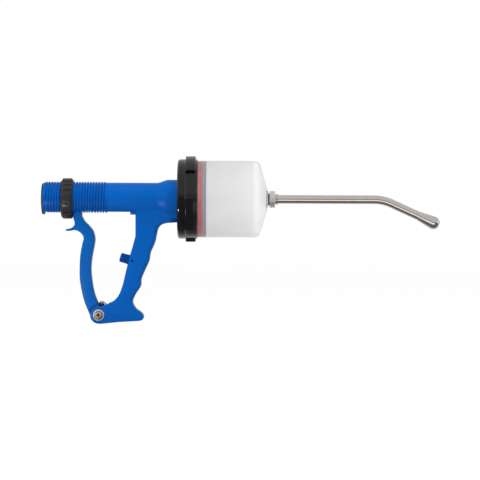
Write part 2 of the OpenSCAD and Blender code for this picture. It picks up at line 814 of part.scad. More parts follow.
module nozzle_adapter() {
  color("#bdb5aa")
    difference() {
      union() {
        bar_x(adapter_x, ferrule_x, spout_bore_r - fit);
        hex_bar_x(hex_x, ferrule_x, hex_w);
      }
      bar_x(adapter_x - over, outlet_room_x + over, outlet_seat_r);
      bar_x(outlet_room_x, nozzle_x, outlet_room_r);
      bar_x(nozzle_x, ferrule_x + over, nozzle_r + fit);
    }
}

module nozzle_ferrule() {
  color("#a89f95") hoop_x(ferrule_x, ferrule_x + ferrule_len, nozzle_r + fit, ferrule_r);
}

// The end of the bend: children are drawn along +X from there
module after_bend() {
  translate([bend_x + bend_r * sin(bend_angle), 0, -bend_r * (1 - cos(bend_angle))])
    rotate([0, bend_angle, 0]) children();
}

module nozzle_tube() {
  bore = nozzle_r - nozzle_wall;
  color("#b8aea3") {
    hoop_x(nozzle_x, bend_x + bend_grow, bore, nozzle_r);
    translate([bend_x, 0, -bend_r]) rotate([90, 0, 0]) rotate([0, 0, 90 - bend_angle])
      rotate_extrude(angle = bend_angle) translate([bend_r, 0])
        difference() {
          circle(nozzle_r + bend_grow);
          circle(bore - bend_grow);
        }
    after_bend() hoop_x(-bend_grow, drop_len + tip_socket, bore, nozzle_r);
  }
}

// The tip swells from the tube's size to its round end
tip_bulge_share = 0.9;
tip_end_x = drop_len + tip_len + sqrt(tip_r ^ 2 - outlet_r ^ 2);
tip_profile = concat(
  [[nozzle_r + fit, drop_len]],
  [for (i = [0 : 2 * curve_steps - 1])
    let (s = i / (2 * curve_steps))
    [nozzle_r + fit + nozzle_wall / 4 * (1 - s) + (tip_swell - fit) * s ^ tip_bulge_share,
      drop_len + tip_len * s]],
  [for (i = [0 : 2 * curve_steps])
    let (turn = (90 - asin(outlet_r / tip_r)) * i / (2 * curve_steps))
    [tip_r * cos(turn), drop_len + tip_len + tip_r * sin(turn)]],
  [[outlet_r, drop_len + tip_socket], [nozzle_r + fit, drop_len + tip_socket]]
);

module nozzle_tip() {
  color("#c2b9ae") after_bend() lathe(tip_profile);
}

module outlet_spring() {
  color("#c9c5be") wire(outlet_path, valve_wire_r, [1, 0, 0]);
}

module outlet_retainer() {
  color("#c8a24a") hoop_x(outlet_stop_x, nozzle_x, outlet_seat_r, outlet_room_r - fit);
}

module outlet_ball() {
  color("#d0d0d0") translate([outlet_ball_x, 0, 0]) sphere(outlet_ball_r);
}

module lever() {
  color("#1766c2")
    difference() {
      union() {
        slab(lever_outline, lever_w);
        bar_y(-cheek_out, cheek_out, eye_r);
      }
      both_sides() bar_y(cheek_out, lever_w / 2 + over, shoulder_r);
      bar_y(-cheek_in, cheek_in, foot_room_r);
      bar_y(-lever_w, lever_w, screw_r + fit);
      translate([pivot_x + neck_rear - over, -prong_in, -fork_depth])
        cube([neck_w + 2 * over, 2 * prong_in, fork_depth + prong_top + over]);
      translate([pin_x, -lever_w, 0]) rotate([-90, 0, 0]) cylinder(h = 2 * lever_w, r = pin_r + fit);
      translate([coil_at[0], -coil_w / 2, coil_at[1]]) rotate([0, -leg_angle, 0])
        translate([coil_r, 0, -lever_leg - run]) cylinder(h = lever_leg + run, r = wire_r + run);
    }
}

module drive_pins() {
  color("#b9b4ac")
    both_sides()
      translate([pin_x, prong_in - pin_tip, 0])
        rotate([-90, 0, 0]) cylinder(h = prong_t + pin_tip, r = pin_r);
}

module piston_rod() {
  color("#cfcfcd") hoop_x(rod_x, inlet_seat_x - rest_gap, rod_bore_r, rod_r);
}

module crosshead() {
  color("#e6e2d6")
    difference() {
      union() {
        translate([pin_x - cross_len / 2, -cross_w / 2, -cross_h / 2]) cube([cross_len, cross_w, cross_h]);
        bar_x(pin_x + cross_len / 2 - over, pin_x + cross_len / 2 + guide_t, guide_r);
      }
      bar_x(pin_x - cross_len, pin_x + cross_len + guide_t, rod_r + fit);
      both_sides()
        translate([pin_x - pin_r - run, cross_w / 2 - groove_depth, -cross_h])
          cube([2 * (pin_r + run), groove_depth + over, 2 * cross_h]);
    }
}

module hose_spigot() {
  color("#e6e2d6")
    lathe([
      [rod_bore_r, hose_x], [hose_r, hose_x], [hose_r, hose_stop_x], [hose_stop_r, hose_stop_x],
      [hose_stop_r, hose_stop_x + hose_stop_t], [rod_r + fit, hose_stop_x + hose_stop_t],
      [rod_r + fit, rod_x - rest_gap], [rod_bore_r, rod_x - rest_gap]
    ]);
}

module valve_hub() {
  color("#d9d4c4")
    lathe([
      [rod_r + fit, hub_x], [hub_flange_r, hub_x], [hub_flange_r, rear_plate_x], [hub_r, rear_plate_x],
      [hub_r, hub_end_x], [inlet_room_r, hub_end_x], [inlet_room_r, inlet_room_x],
      [inlet_seat_r, inlet_room_x], [inlet_seat_r, inlet_seat_x], [rod_r + fit, inlet_seat_x]
    ]);
}

module piston_rear_plate() {
  color("#2b4f86") hoop_x(rear_plate_x, piston_seal_x, hub_r + fit, piston_r);
}

module piston_seal() {
  lip_share = 0.3;
  color("#c4282b")
    lathe([
      [hub_r + fit, piston_seal_x], [bore_r - fit, piston_seal_x],
      [bore_r - fit, piston_seal_x + lip_share * piston_seal_t],
      [piston_r, piston_seal_x + piston_seal_t / 2],
      [bore_r - fit, front_plate_x - lip_share * piston_seal_t],
      [bore_r - fit, front_plate_x], [hub_r + fit, front_plate_x]
    ]);
}

module piston_front_plate() {
  color("#8fa6bd") hoop_x(front_plate_x, piston_nut_x, hub_r + fit, piston_r);
}

module piston_nut() {
  color("#c8a24a")
    difference() {
      hex_bar_x(piston_nut_x, piston_nut_x + piston_nut_h, 2 * (hub_r + piston_nut_wall));
      bar_x(piston_nut_x - over, piston_nut_x + piston_nut_h + over, hub_r + fit);
    }
}

module inlet_spring() {
  color("#c9c5be") wire(inlet_path, valve_wire_r, [1, 0, 0]);
}

module inlet_retainer() {
  color("#c8a24a") hoop_x(inlet_stop_x, hub_end_x, inlet_seat_r, inlet_room_r - fit);
}

module inlet_ball() {
  color("#d0d0d0") translate([inlet_ball_x, 0, 0]) sphere(inlet_ball_r);
}

module ring_seal() {
  color("#303030") hoop_x(ring_x + run, ring_x + run + ring_seal_w, ring_bore_r, ring_seal_r);
}

module dose_ring() {
  color("#191919")
    difference() {
      lathe(concat(
        [[ring_bore_r, ring_x]],
        arc([ring_r - ring_shoulder, ring_x + ring_shoulder], ring_shoulder, -90, 0),
        arc([ring_r - ring_shoulder, ring_front_x - ring_shoulder], ring_shoulder, 0, 90),
        [[ring_bore_r, ring_front_x]]
      ));
      bar_x(ring_x - over, ring_x + 2 * run + ring_seal_w, ring_seal_r + run);
      for (i = [0 : flute_count - 1])
        rotate([i * 360 / flute_count, 0, 0]) translate([0, 0, ring_r + flute_r / 2])
          bar_x(ring_x - over, ring_front_x + over, flute_r);
    }
}

module stop_screw() {
  waist_from = stop_pin_depth - stop_pin_r - run;
  waist_to = stop_pin_depth + stop_pin_r + run + stop_travel;
  color("#8f8c86")
    on_knob_axis() rotate_extrude() polygon([
      [0, -run - knob_collar_t - knob_socket], [stop_r, -run - knob_collar_t - knob_socket],
      [stop_r, waist_from], [stop_r - stop_waist, waist_from],
      [stop_r - stop_waist, waist_to], [stop_r, waist_to], [stop_r, stop_len], [0, stop_len]
    ]);
}

module stop_knob() {
  color("#0f4aa3")
    on_knob_axis()
      difference() {
        union() {
          translate([0, 0, -run - knob_collar_t]) cylinder(h = knob_collar_t, r = knob_collar_r);
          translate([0, 0, -run - knob_collar_t - knob_len])
            cylinder(h = knob_len + knob_collar_t, r = knob_r);
        }
        translate([0, 0, -run - knob_collar_t - knob_socket - run])
          cylinder(h = knob_collar_t + knob_socket + 2 * run, r = stop_r + fit);
        for (i = [0 : knob_flutes - 1])
          rotate([0, 0, i * 360 / knob_flutes])
            translate([knob_r, 0, -run - knob_collar_t - knob_len - over])
              cylinder(h = knob_len + over, r = knob_flute_r);
      }
}

main_body();
rear_cap();
front_plate();
lock_ring();
barrel();
barrel_gasket();
pivot_screw();
pivot_nut();
pivot_washers();
pivot_spacer();
lever_spring();
stop_pin();
nozzle_seal();
nozzle_adapter();
nozzle_ferrule();
nozzle_tube();
nozzle_tip();
outlet_spring();
outlet_retainer();
outlet_ball();
lever();
drive_pins();
piston_rod();
crosshead();
hose_spigot();
valve_hub();
piston_rear_plate();
piston_seal();
piston_front_plate();
piston_nut();
inlet_spring();
inlet_retainer();
inlet_ball();
ring_seal();
dose_ring();
stop_screw();
stop_knob();
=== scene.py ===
"""Livestock drencher: moulded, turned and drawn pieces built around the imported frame."""

import math

import bmesh
import bpy
from bpy.props import FloatProperty, FloatVectorProperty, IntProperty, PointerProperty
from mathutils import Matrix, Vector
from mathutils.geometry import delaunay_2d_cdt


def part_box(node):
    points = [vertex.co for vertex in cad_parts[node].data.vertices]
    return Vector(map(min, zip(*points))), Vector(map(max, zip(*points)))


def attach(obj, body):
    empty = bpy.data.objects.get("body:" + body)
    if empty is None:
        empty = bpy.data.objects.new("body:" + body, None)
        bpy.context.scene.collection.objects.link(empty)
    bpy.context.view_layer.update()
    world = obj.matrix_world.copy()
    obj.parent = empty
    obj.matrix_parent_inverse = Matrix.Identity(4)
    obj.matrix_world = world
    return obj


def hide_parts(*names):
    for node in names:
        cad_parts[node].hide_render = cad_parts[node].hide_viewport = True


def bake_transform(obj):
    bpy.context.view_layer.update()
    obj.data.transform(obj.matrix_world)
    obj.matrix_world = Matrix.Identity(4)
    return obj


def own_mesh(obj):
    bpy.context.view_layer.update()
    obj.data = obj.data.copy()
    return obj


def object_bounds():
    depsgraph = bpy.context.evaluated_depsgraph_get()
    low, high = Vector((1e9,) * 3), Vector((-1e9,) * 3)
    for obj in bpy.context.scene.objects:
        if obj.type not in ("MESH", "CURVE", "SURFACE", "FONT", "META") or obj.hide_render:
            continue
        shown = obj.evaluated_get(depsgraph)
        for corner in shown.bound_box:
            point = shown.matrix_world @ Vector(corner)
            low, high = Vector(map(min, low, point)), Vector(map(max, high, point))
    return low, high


bl_info = {
    "name": "Drencher Dressing",
    "version": (1, 0, 0),
    "blender": (4, 5, 0),
    "location": "View3D > Sidebar > Drencher",
    "description": "Builds the visible pieces of a livestock drencher around its packed frame",
    "category": "Object",
}

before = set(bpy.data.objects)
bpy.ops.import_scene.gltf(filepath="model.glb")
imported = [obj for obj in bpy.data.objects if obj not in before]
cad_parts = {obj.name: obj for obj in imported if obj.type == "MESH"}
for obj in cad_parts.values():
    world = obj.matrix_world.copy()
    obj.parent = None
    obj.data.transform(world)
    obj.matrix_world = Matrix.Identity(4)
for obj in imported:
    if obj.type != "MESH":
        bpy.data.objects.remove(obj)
cad_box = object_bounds()


# Sizes and colours


def length(label, text, value):
    return FloatProperty(name=label, description=text, default=value, unit="LENGTH", precision=5)


def angle(label, text, degrees):
    return FloatProperty(name=label, description=text, default=math.radians(degrees), subtype="ANGLE")


def count(label, text, value):
    return IntProperty(name=label, description=text, default=value, min=1)


def tint(label, text, value):
    return FloatVectorProperty(
        name=label, description=text, default=value, subtype="COLOR", min=0.0, max=1.0,
    )


class DRENCHER_PG_body(bpy.types.PropertyGroup):
    """Sizes of the moulded body"""

    tube_r: length("Tube radius", "Radius of the tube beside its thread", 0.016)
    bore_r: length("Tube bore", "Radius of the bore through the tube", 0.0135)
    rear_x: length("Tube rear", "Where the tube starts, in front of the rear cap", 0.0016)
    port_r: length("Feed port", "Radius of the port through the rear cap", 0.009)
    plug_x: length("Plug end", "Where the rear cap's plug ends inside the tube", 0.0066)
    tongue_x: length("Tongue end", "Where the tongue in the slot's end stops", 0.0028)
    tongue_half: length("Tongue half width", "Half the width of the tongue", 0.009)
    thread_x: length("Thread start", "Where the first thread ridge shows on the near side", 0.0038)
    thread_pitch: length("Thread pitch", "Step from ridge to ridge", 0.00276)
    thread_turns: count("Thread turns", "Turns of the thread", 22)
    ridge_r: length("Ridge radius", "Radius of the rounded thread ridge", 0.00075)
    root: length("Thread root", "Depth of the tube's surface between the ridges", 0.0006)
    flare_x: length("Flare start", "Where the tube starts to widen", 0.1139)
    flare_len: length("Flare length", "Length of the widening", 0.013)
    neck_r: length("Neck radius", "Radius of the tube in front of the flare", 0.0191)
    neck_x: length("Neck end", "Where the body ends inside the lock ring", 0.1383)
    slot_x: length("Slot end", "Front end of the slot under the tube", 0.08836)
    slot_half: length("Slot half width", "Half the width of the slot under the tube", 0.0093)
    grip_w: length("Grip width", "Width of the grip across the hand", 0.022)
    grip_reach: length("Grip reach", "How far the grip leans forward of the pivot", 0.060)
    gusset_x: length("Gusset end", "Where the web under the tube ends", 0.1353)
    ear_r: length("Ear radius", "Radius of the two ears at the pivot", 0.0086)
    clevis_r: length("Clevis radius", "Radius of the room between the ears", 0.0109)
    clevis_half: length("Clevis half width", "Half the room between the ears", 0.0083)


class DRENCHER_PG_lever(bpy.types.PropertyGroup):
    """Sizes of the lever, its pivot, the springs and the stop knob"""

    pivot_x: length("Pivot X", "Pivot's place along the barrel", 0.0576)
    pivot_drop: length("Pivot drop", "Pivot's depth under the barrel axis", 0.1161)
    lever_w: length("Lever width", "Width of the lever across the hand", 0.0176)
    bow: length("Lever bow", "How far the lever bows to the rear", 0.020)
    eye_r: length("Eye radius", "Radius of the lever's eye at the pivot", 0.0084)
    pin_x: length("Drive pin X", "Drive pins' place along the barrel at rest", 0.03625)
    neck_w: length("Neck width", "Width of the prongs seen from the side", 0.0069)
    prong_top: length("Prong top", "Height of the prongs above the barrel axis", 0.0036)
    fork_half: length("Fork half gap", "Half the gap between the prongs", 0.0063)
    fork_drop: length("Fork drop", "Depth of the fork under the barrel axis", 0.0126)
    cheek_in: length("Cheek inside", "Inner face of a cheek, from the middle", 0.005)
    cheek_out: length("Cheek outside", "Outer face of a cheek, from the middle", 0.008)
    foot_room_r: length("Foot room", "Radius of the room for the spring between the cheeks", 0.0147)
    shoulder_r: length("Shoulder radius", "Radius of the step beside the ears", 0.0104)
    screw_r: length("Screw radius", "Radius of the pivot screw", 0.003)
    head_r: length("Screw head radius", "Radius of the pivot screw's head", 0.0047)
    head_h: length("Screw head height", "Height of the pivot screw's head", 0.0026)
    washer_r: length("Washer radius", "Radius of the pivot washers", 0.0054)
    washer_t: length("Washer thickness", "Thickness of a pivot washer", 0.001)
    nut_h: length("Nut height", "Height of the pivot nut", 0.004)
    coil_r: length("Coil radius", "Radius of the lever spring's coil", 0.0035)
    coil_w: length("Coil width", "Width of the lever spring's coil", 0.007)
    coil_wire: length("Wire radius", "Radius of the lever spring's wire", 0.00125)
    valve_lift: length("Valve lift", "How far the valve balls push their springs", 0.0015)
    knob_r: length("Knob radius", "Radius of the stop knob", 0.0047)
    knob_len: length("Knob length", "Length of the stop knob's head", 0.0076)
    collar_r: length("Collar radius", "Radius of the stop knob's collar", 0.005)
    collar_t: length("Collar thickness", "Thickness of the stop knob's collar", 0.0016)
    knob_tilt: angle("Knob tilt", "Slope of the stop knob's axis", 16.5)


class DRENCHER_PG_rings(bpy.types.PropertyGroup):
    """Sizes of the dose ring and the lock ring"""

    dose_x: length("Dose ring rear", "Rear face of the dose ring", 0.0194)
    dose_w: length("Dose ring width", "Width of the dose ring", 0.0120)
    dose_r: length("Dose ring radius", "Radius over the dose ring's ribs", 0.02025)
    dose_bore: length("Dose ring bore", "Radius of the dose ring's bore", 0.01705)
    dose_ribs: count("Dose ring ribs", "Ribs around the dose ring", 20)
    lock_x: length("Lock ring rear", "Rear face of the lock ring", 0.1356)
    lock_w: length("Lock ring width", "Width of the lock ring", 0.020)
    lock_r: length("Lock ring radius", "Radius of the lock ring", 0.0397)
    lock_wall: length("Lock ring wall", "Thickness of the lock ring's wall", 0.0026)
    lock_lip: length("Lock ring lip", "Thickness of the lock ring's rear wall", 0.0032)
    lug_r: length("Lug radius", "Radius over the lock ring's lugs", 0.0428)
    lug_x: length("Lug rear", "Rear face of the lugs", 0.1436)
    lug_w: length("Lug width", "Width of the lugs along the barrel", 0.010)
    lug_arc: angle("Lug arc", "Angle that each lug spans", 51)
    lug_turn: angle("Lug turn", "Turn of the first lug from straight up", 24)
    lug_count: count("Lugs", "Lugs around the lock ring", 4)


class DRENCHER_PG_barrel(bpy.types.PropertyGroup):
    """Sizes of the barrel"""

    rear_x: length("Barrel rear", "Rear face of the barrel inside the lock ring", 0.1434)
    step_x: length("Barrel step", "Where the barrel comes out of the lock ring", 0.1559)
    collar_r: length("Barrel collar", "Radius of the barrel inside the lock ring", 0.0366)
    outer_r: length("Barrel radius", "Radius of the barrel", 0.0382)
    bore_r: length("Barrel bore", "Radius of the barrel's milky bore", 0.0335)
    corner_r: length("Corner radius", "Radius of the rounded corner", 0.006)
    cone: angle("Cone", "Slope of the front face", 16.5)
    spout_x: length("Spout face", "Front face of the spout", 0.225765)
    spout_r: length("Spout radius", "Radius of the spout's face", 0.0074)
    spout_bore: length("Spout bore", "Radius of the spout's bore", 0.005)
    boss_x: length("Boss rear", "Rear face of the boss inside the barrel", 0.21706)
    boss_r: length("Boss radius", "Radius of the boss inside the barrel", 0.008)


class DRENCHER_PG_nozzle(bpy.types.PropertyGroup):
    """Sizes of the nozzle"""

    hex_x: length("Hexagon rear", "Rear face of the hexagon", 0.227165)
    hex_len: length("Hexagon length", "Length of the hexagon", 0.0056)
    hex_w: length("Hexagon width", "Width of the hexagon across its corners", 0.0168)
    hex_turn: angle("Hexagon turn", "Turn of the hexagon's first corner from straight up", 8)
    ferrule_len: length("Ferrule length", "Length of the ferrule", 0.003)
    ferrule_r: length("Ferrule radius", "Radius of the ferrule", 0.00545)
    tube_r: length("Nozzle radius", "Radius of the nozzle tube", 0.00435)
    tube_x: length("Nozzle rear", "Where the nozzle tube starts in the hexagon", 0.230765)
    bend_x: length("Bend start", "Where the nozzle starts to bend", 0.331765)
    bend_r: length("Bend radius", "Radius of the nozzle's bend", 0.043)
    bend: angle("Bend", "Angle of the nozzle's bend", 24.5)
    drop_len: length("Front length", "Length of tube between the bend and the tip", 0.030)
    tip_len: length("Tip length", "Length of the tip up to the middle of its round end", 0.0156)
    tip_foot_r: length("Tip foot", "Radius of the tip at its seam", 0.0046)
    tip_r: length("Tip radius", "Radius of the tip's round end", 0.0065)
    outlet_r: length("Outlet radius", "Radius of the hole in the tip", 0.0025)


class DRENCHER_PG_colours(bpy.types.PropertyGroup):
    """Colours of the finishes"""

    body: tint("Body blue", "Blue of the moulded body", (0.0, 0.108, 0.465))
    lever: tint("Lever blue", "Blue of the lever", (0.0, 0.112, 0.44))
    knob: tint("Knob blue", "Blue of the stop knob", (0.0, 0.072, 0.37))
    # On the stop pin this is its own blue; on the spring's bush it is painted shade for the dark inside of
    # the coil.
    pin_and_shade_blue: tint("Pin blue", "Blue of the stop pin and of the spring's bush", (0.0, 0.008, 0.06))
    plate: tint("Plate blue", "Pale blue of the piston plates", (0.23, 0.225, 0.29))
    black: tint("Satin black", "Black of dose ring, rear cap and front plate", (0.022, 0.021, 0.022))
    gloss: tint("Gloss black", "Black of the lock ring", (0.0055, 0.005, 0.0052))
    # Besides the seals, this black is painted shade in the dose ring's grooves and in the screw's socket.
    rubber: tint("Rubber black", "Black of seals, grooves and the screw's socket", (0.018, 0.018, 0.018))
    red: tint("Seal red", "Red of the piston seal", (0.5, 0.006, 0.008))
    skin: tint("Barrel skin", "Clear skin of the barrel", (0.97, 0.97, 0.97))
    clear: tint("Barrel white", "Milky white of the barrel", (0.95, 0.95, 0.955))
    white: tint("White plastic", "White of crosshead, spigot and piston hub", (0.72, 0.69, 0.62))
    # The washers' near white is a painted highlight for the bright reflections round the screw head.
    nylon: tint("Nylon", "White of the pivot washers", (0.86, 0.86, 0.87))
    zinc: tint("Zinc", "Zinc plate of fasteners and piston rod", (0.58, 0.55, 0.51))
    bronzed: tint("Bronzed steel", "Brownish plate of the pivot screw", (0.42, 0.32, 0.255))
    spring: tint("Spring steel", "Drawn spring wire", (0.44, 0.41, 0.385))
    nozzle: tint("Nozzle plate", "Plated nozzle metal", (0.66, 0.615, 0.58))
    # The hexagon's plate is the nozzle's plate made a fifth brighter: painted light.
    hexagon: tint("Hexagon plate", "Brighter plate of the hexagon", (0.792, 0.738, 0.696))
    ball: tint("Ball steel", "Polished balls", (0.62, 0.62, 0.62))
    brass: tint("Brass", "Machined brass", (0.62, 0.42, 0.14))


# Small sizes and places that the pieces share

SHARP = 38  # degrees from which an edge stays a crease
MERGE = 2e-7  # corners nearer than this become one
FLOW_STEPS = 8  # points from one given point of an outline to the next
FIT = 0.0001  # clearance around screws, pins and plugs
EDGE = 0.0003  # rounding of an edge that hardly shows
OVER = 0.02  # how far a cut across the part reaches to each side
STOP_PIN = (0.09079, -0.06209)  # place of the stop pin's hole, as x and z
STOP_PIN_HOLE_R = 0.00125
STOP_PIN_HOLE_END = -0.0018  # where the hole ends inside the grip
DRIVE_PIN_BORE_R = 0.00225
KNOB_FACE = (0.0867615, 0, -0.0608944)  # where the stop knob's axis meets the grip
SPRING_MIDDLE = (0.0603, -0.1072)  # middle of the lever spring's coil, as x and z
# radius of the dark bush that is painted shade inside the lever spring's coil
SPRING_SHADE_BUSH_R = 0.0021
VALVE_WIRE_R = 0.0003
WEB_FOOT_SHARE = 0.798  # height of the web's foot, as a share of the pivot's drop
NECK_FOOT_SHARE = 0.85  # height at which the lever's prongs start

# Name, place, aim, width, height, watts and the one kind of ray that sees it
LAMPS = (
    ("top_light", (0.25, -0.25, 1.3), (0.2, 0, -0.02), 1.2, 1.0, 9.0, "diffuse"),
    ("front_light", (-0.7, -1.3, 0.8), (0.2, 0, -0.03), 1.1, 0.7, 12.0, "diffuse"),
    ("low_spark", (-0.03, -0.16, -0.12), (0.12, 0, 0), 0.05, 0.02, 0.3, "glossy"),
    ("nozzle_strip", (0.33, -0.2, -0.09), (0.33, 0, 0), 0.3, 0.11, 0.13, "glossy"),
    ("barrel_fill", (1.4, -0.35, -0.3), (0.2, 0, 0), 1.0, 1.0, 32.0, "transmission"),
)
CAMERA_PLACE = (0.1979, -2.0, -0.0408)
CAMERA_TURN = (math.pi / 2, -0.0042, 0)
CAMERA_LENS, CAMERA_SENSOR = 150.0, 36.0  # millimetres
FLOOR_PLACE, FLOOR_HALF, FLOOR_GAP = (0.2, 0.8), 4.0, 0.001
FLOOR_WHITE_SHARE = 0.98  # the rest lets the shadow show


# Outlines of the grip and the lever as shares of their reach and of the pivot's drop

GRIP_REAR = [
    (0.603, 0.679), (0.558, 0.591), (0.523, 0.529), (0.455, 0.391), (0.396, 0.262),
    (0.334, 0.176), (0.257, 0.1275), (0.175, 0.105), (0.108, 0.0875), (0.033, 0.074),
]
GRIP_FINGERS = [
    (0.033, -0.0755), (0.338, -0.0595), (0.657, -0.049), (0.717, -0.040), (0.739, -0.012),
    (0.702, 0.0225), (0.612, 0.057), (0.558, 0.1155), (0.61, 0.1845), (0.69, 0.249),
    (0.702, 0.315), (0.767, 0.395), (0.829, 0.47), (0.851, 0.5375), (0.893, 0.5875),
    (0.932, 0.641), (0.958, 0.71), (0.983, 0.751), (1.037, 0.7795), (1.125, 0.793),
]
LEVER_SPUR = [
    (-1.3, 0.833), (-1.235, 0.801), (-1.23, 0.777), (-1.295, 0.758), (-1.43, 0.7433), (-1.64, 0.7347),
    (-1.65, 0.7209), (-1.475, 0.7227), (-1.26, 0.7278), (-1.065, 0.72), (-0.88, 0.6968), (-0.775, 0.66),
]
LEVER_BACK = [
    (-0.84, 0.61), (-0.94, 0.5115), (-0.968, 0.408), (-0.945, 0.2885), (-0.755, 0.1325), (-0.45, 0.0),
]
LEVER_PALM = [
    (0.0, 0.077), (-0.095, 0.1155), (-0.28, 0.21), (-0.4, 0.3445), (-0.415, 0.418),
    (-0.362, 0.504), (-0.247, 0.6115), (-0.23, 0.663), (-0.325, 0.7225), (-0.545, 0.772), (-0.745, 0.806),
]


# Shapes


def flowing(points):
    """A smooth run through the points."""
    ends = [points[0]] + list(points) + [points[-1]]
    run = []
    for a, b, c, d in zip(ends, ends[1:], ends[2:], ends[3:]):
        for i in range(FLOW_STEPS):
            t = i / FLOW_STEPS
            run.append(tuple(
                0.5 * (
                    2 * q + (r - p) * t
                    + (2 * p - 5 * q + 4 * r - s) * t ** 2
                    + (3 * q - p - 3 * r + s) * t ** 3
                )
                for p, q, r, s in zip(a, b, c, d)
            ))
    return run + [tuple(points[-1])]


def arc(centre, radius, start, end, steps):
    """Points on a circle from one angle to another, in degrees."""
    turns = [math.radians(start + (end - start) * i / steps) for i in range(steps + 1)]
    return [(centre[0] + radius * math.cos(t), centre[1] + radius * math.sin(t)) for t in turns]


def rounded(corners, steps=5):
    """A closed outline whose corners, given as x, y and radius, are rounded off."""
    outline = []
    for i, (x, y, radius) in enumerate(corners):
        here = Vector((x, y))
        if radius <= 0:
            outline.append((x, y))
            continue
        back = (Vector(corners[i - 1][:2]) - here).normalized()
        on = (Vector(corners[(i + 1) % len(corners)][:2]) - here).normalized()
        half = math.acos(max(-1, min(1, back.dot(on)))) / 2
        centre = here + (back + on).normalized() * radius / math.sin(half)
        first = here + back * radius / math.tan(half) - centre
        last = here + on * radius / math.tan(half) - centre
        for k in range(steps + 1):
            outline.append(tuple(centre + radius * first.slerp(last, k / steps)))
    return outline


def new_piece(name, bm, sharp=SHARP):
    """A shaded object made from bm, its doubles merged and its faces turned outwards."""
    bmesh.ops.remove_doubles(bm, verts=bm.verts, dist=MERGE)
    bmesh.ops.recalc_face_normals(bm, faces=bm.faces)
    mesh = bpy.data.meshes.new(name)
    bm.to_mesh(mesh)
    bm.free()
    return shaded(name, mesh, sharp)


def shaded(name, mesh, sharp=SHARP):
    """An object at the origin that shows mesh smoothly, with creases at sharp angles."""
    mesh.shade_smooth()
    mesh.set_sharp_from_angle(angle=math.radians(sharp))
    return placed(name, mesh)


def placed(name, data):
    """A new object at the origin of the scene."""
    piece = bpy.data.objects.new(name, data)
    bpy.context.scene.collection.objects.link(piece)
    return piece


def walled(bm, rings, capped=False):
    """Faces from each ring of corners to the next and, if capped, over both ends."""
    n = len(rings[0])
    for a, b in zip(rings, rings[1:]):
        for i in range(n):
            k = (i + 1) % n
            bm.faces.new([a[i], a[k], b[k], b[i]])
    if capped:
        for ring in (rings[0], rings[-1]):
            bm.faces.new(ring)


def softened(bm, edges, radius, segments=3):
    """Rounds the edges off."""
    bmesh.ops.bevel(bm, geom=edges, offset=radius, segments=segments, affect="EDGES", profile=0.5)


def lathe(name, outline, steps=96, sharp=SHARP):
    """A closed outline of (x, radius) turned about the X axis."""
    bm = bmesh.new()
    rings = []
    for x, r in outline:
        if r < 1e-7:
            rings.append([bm.verts.new((x, 0, 0))] * steps)
        else:
            turns = [2 * math.pi * i / steps for i in range(steps)]
            rings.append([bm.verts.new((x, r * math.cos(t), r * math.sin(t))) for t in turns])
    for a, b in zip(rings, rings[1:] + rings[:1]):
        for i in range(steps):
            k = (i + 1) % steps
            corners = list(dict.fromkeys([a[i], a[k], b[k], b[i]]))
            if len(corners) > 2:
                bm.faces.new(corners)
    return new_piece(name, bm, sharp)


def slab(name, outline, radii, half, steps=5, sharp=SHARP):
    """A closed outline of (x, z) as a plate across Y, its edges rounded by a radius for each point."""
    n = len(outline)
    points = [Vector(p) for p in outline]
    inward = []
    for i in range(n):
        along = (points[(i + 2) % n] - points[i - 2]).normalized()
        inward.append(Vector((-along.y, along.x)))
    bm = bmesh.new()
    rings = []
    for side in (-1, 1):
        for k in range(steps + 1):
            turn = math.pi / 2 * (steps - k if side < 0 else k) / steps
            ring = []
            for p, into, r in zip(points, inward, radii):
                q = p + into * r * (1 - math.cos(turn))
                ring.append(bm.verts.new((q.x, side * (half - r * (1 - math.sin(turn))), q.y)))
            rings.append(ring)
    walled(bm, rings)
    for ring in (rings[0], rings[-1]):
        flat = [Vector((v.co.x, v.co.z)) for v in ring]
        filled = delaunay_2d_cdt(flat, [], [list(range(n))], 1, 1e-9)
        for corners in filled[2]:
            bm.faces.new([ring[filled[3][i][0]] for i in corners])
    return new_piece(name, bm, sharp)


def eased(outline, step=0.0007, reach=6):
    """A closed outline of (x, z, edge radius) in even steps, its edge radii changing gradually."""
    even, spare = [], 0.0
    for a, b in zip(outline, outline[1:] + outline[:1]):
        a, b = Vector(a), Vector(b)
        long = (b - a).to_2d().length
        at = spare
        while at < long:
            even.append(a.lerp(b, at / long))
            at += step
        spare = at - long
    n = len(even)
    near = range(-reach, reach + 1)
    radii = [sum(even[(i + k) % n].z for k in near) / len(near) for i in range(n)]
    return [(p.x, p.y) for p in even], radii


def stretches(*runs):
    """Edge radii for an outline, each run giving a radius and its number of points."""
    return [radius for radius, number in runs for _ in range(number)]


def block(name, low, high, edge=0.0):
    """A box between two corners, its edges rounded if edge is given."""
    bm = bmesh.new()
    bmesh.ops.create_cube(bm, size=1)
    low, high = Vector(low), Vector(high)
    for v in bm.verts:
        v.co = Vector(low[i] if v.co[i] < 0 else high[i] for i in range(3))
    if edge:
        softened(bm, bm.edges[:], edge)
    return new_piece(name, bm)


def sector(name, along, radii, span, steps=18, edge=0.0004, segments=3):
    """Part of a ring about the X axis, upright, its edges rounded."""
    bm = bmesh.new()
    rows = []
    for x in along:
        for radius in radii:
            turns = [span * (i / steps - 0.5) for i in range(steps + 1)]
            rows.append([bm.verts.new((x, -radius * math.sin(t), radius * math.cos(t))) for t in turns])
    for i in range(steps):
        for a, b in ((0, 1), (1, 3), (3, 2), (2, 0)):
            bm.faces.new([rows[a][i], rows[a][i + 1], rows[b][i + 1], rows[b][i]])
    for i in (0, steps):
        bm.faces.new([rows[k][i] for k in (0, 1, 3, 2)])
    bmesh.ops.recalc_face_normals(bm, faces=bm.faces)
    creased = [e for e in bm.edges if e.calc_face_angle() > 0.6]
    softened(bm, creased, edge, segments)
    return new_piece(name, bm)


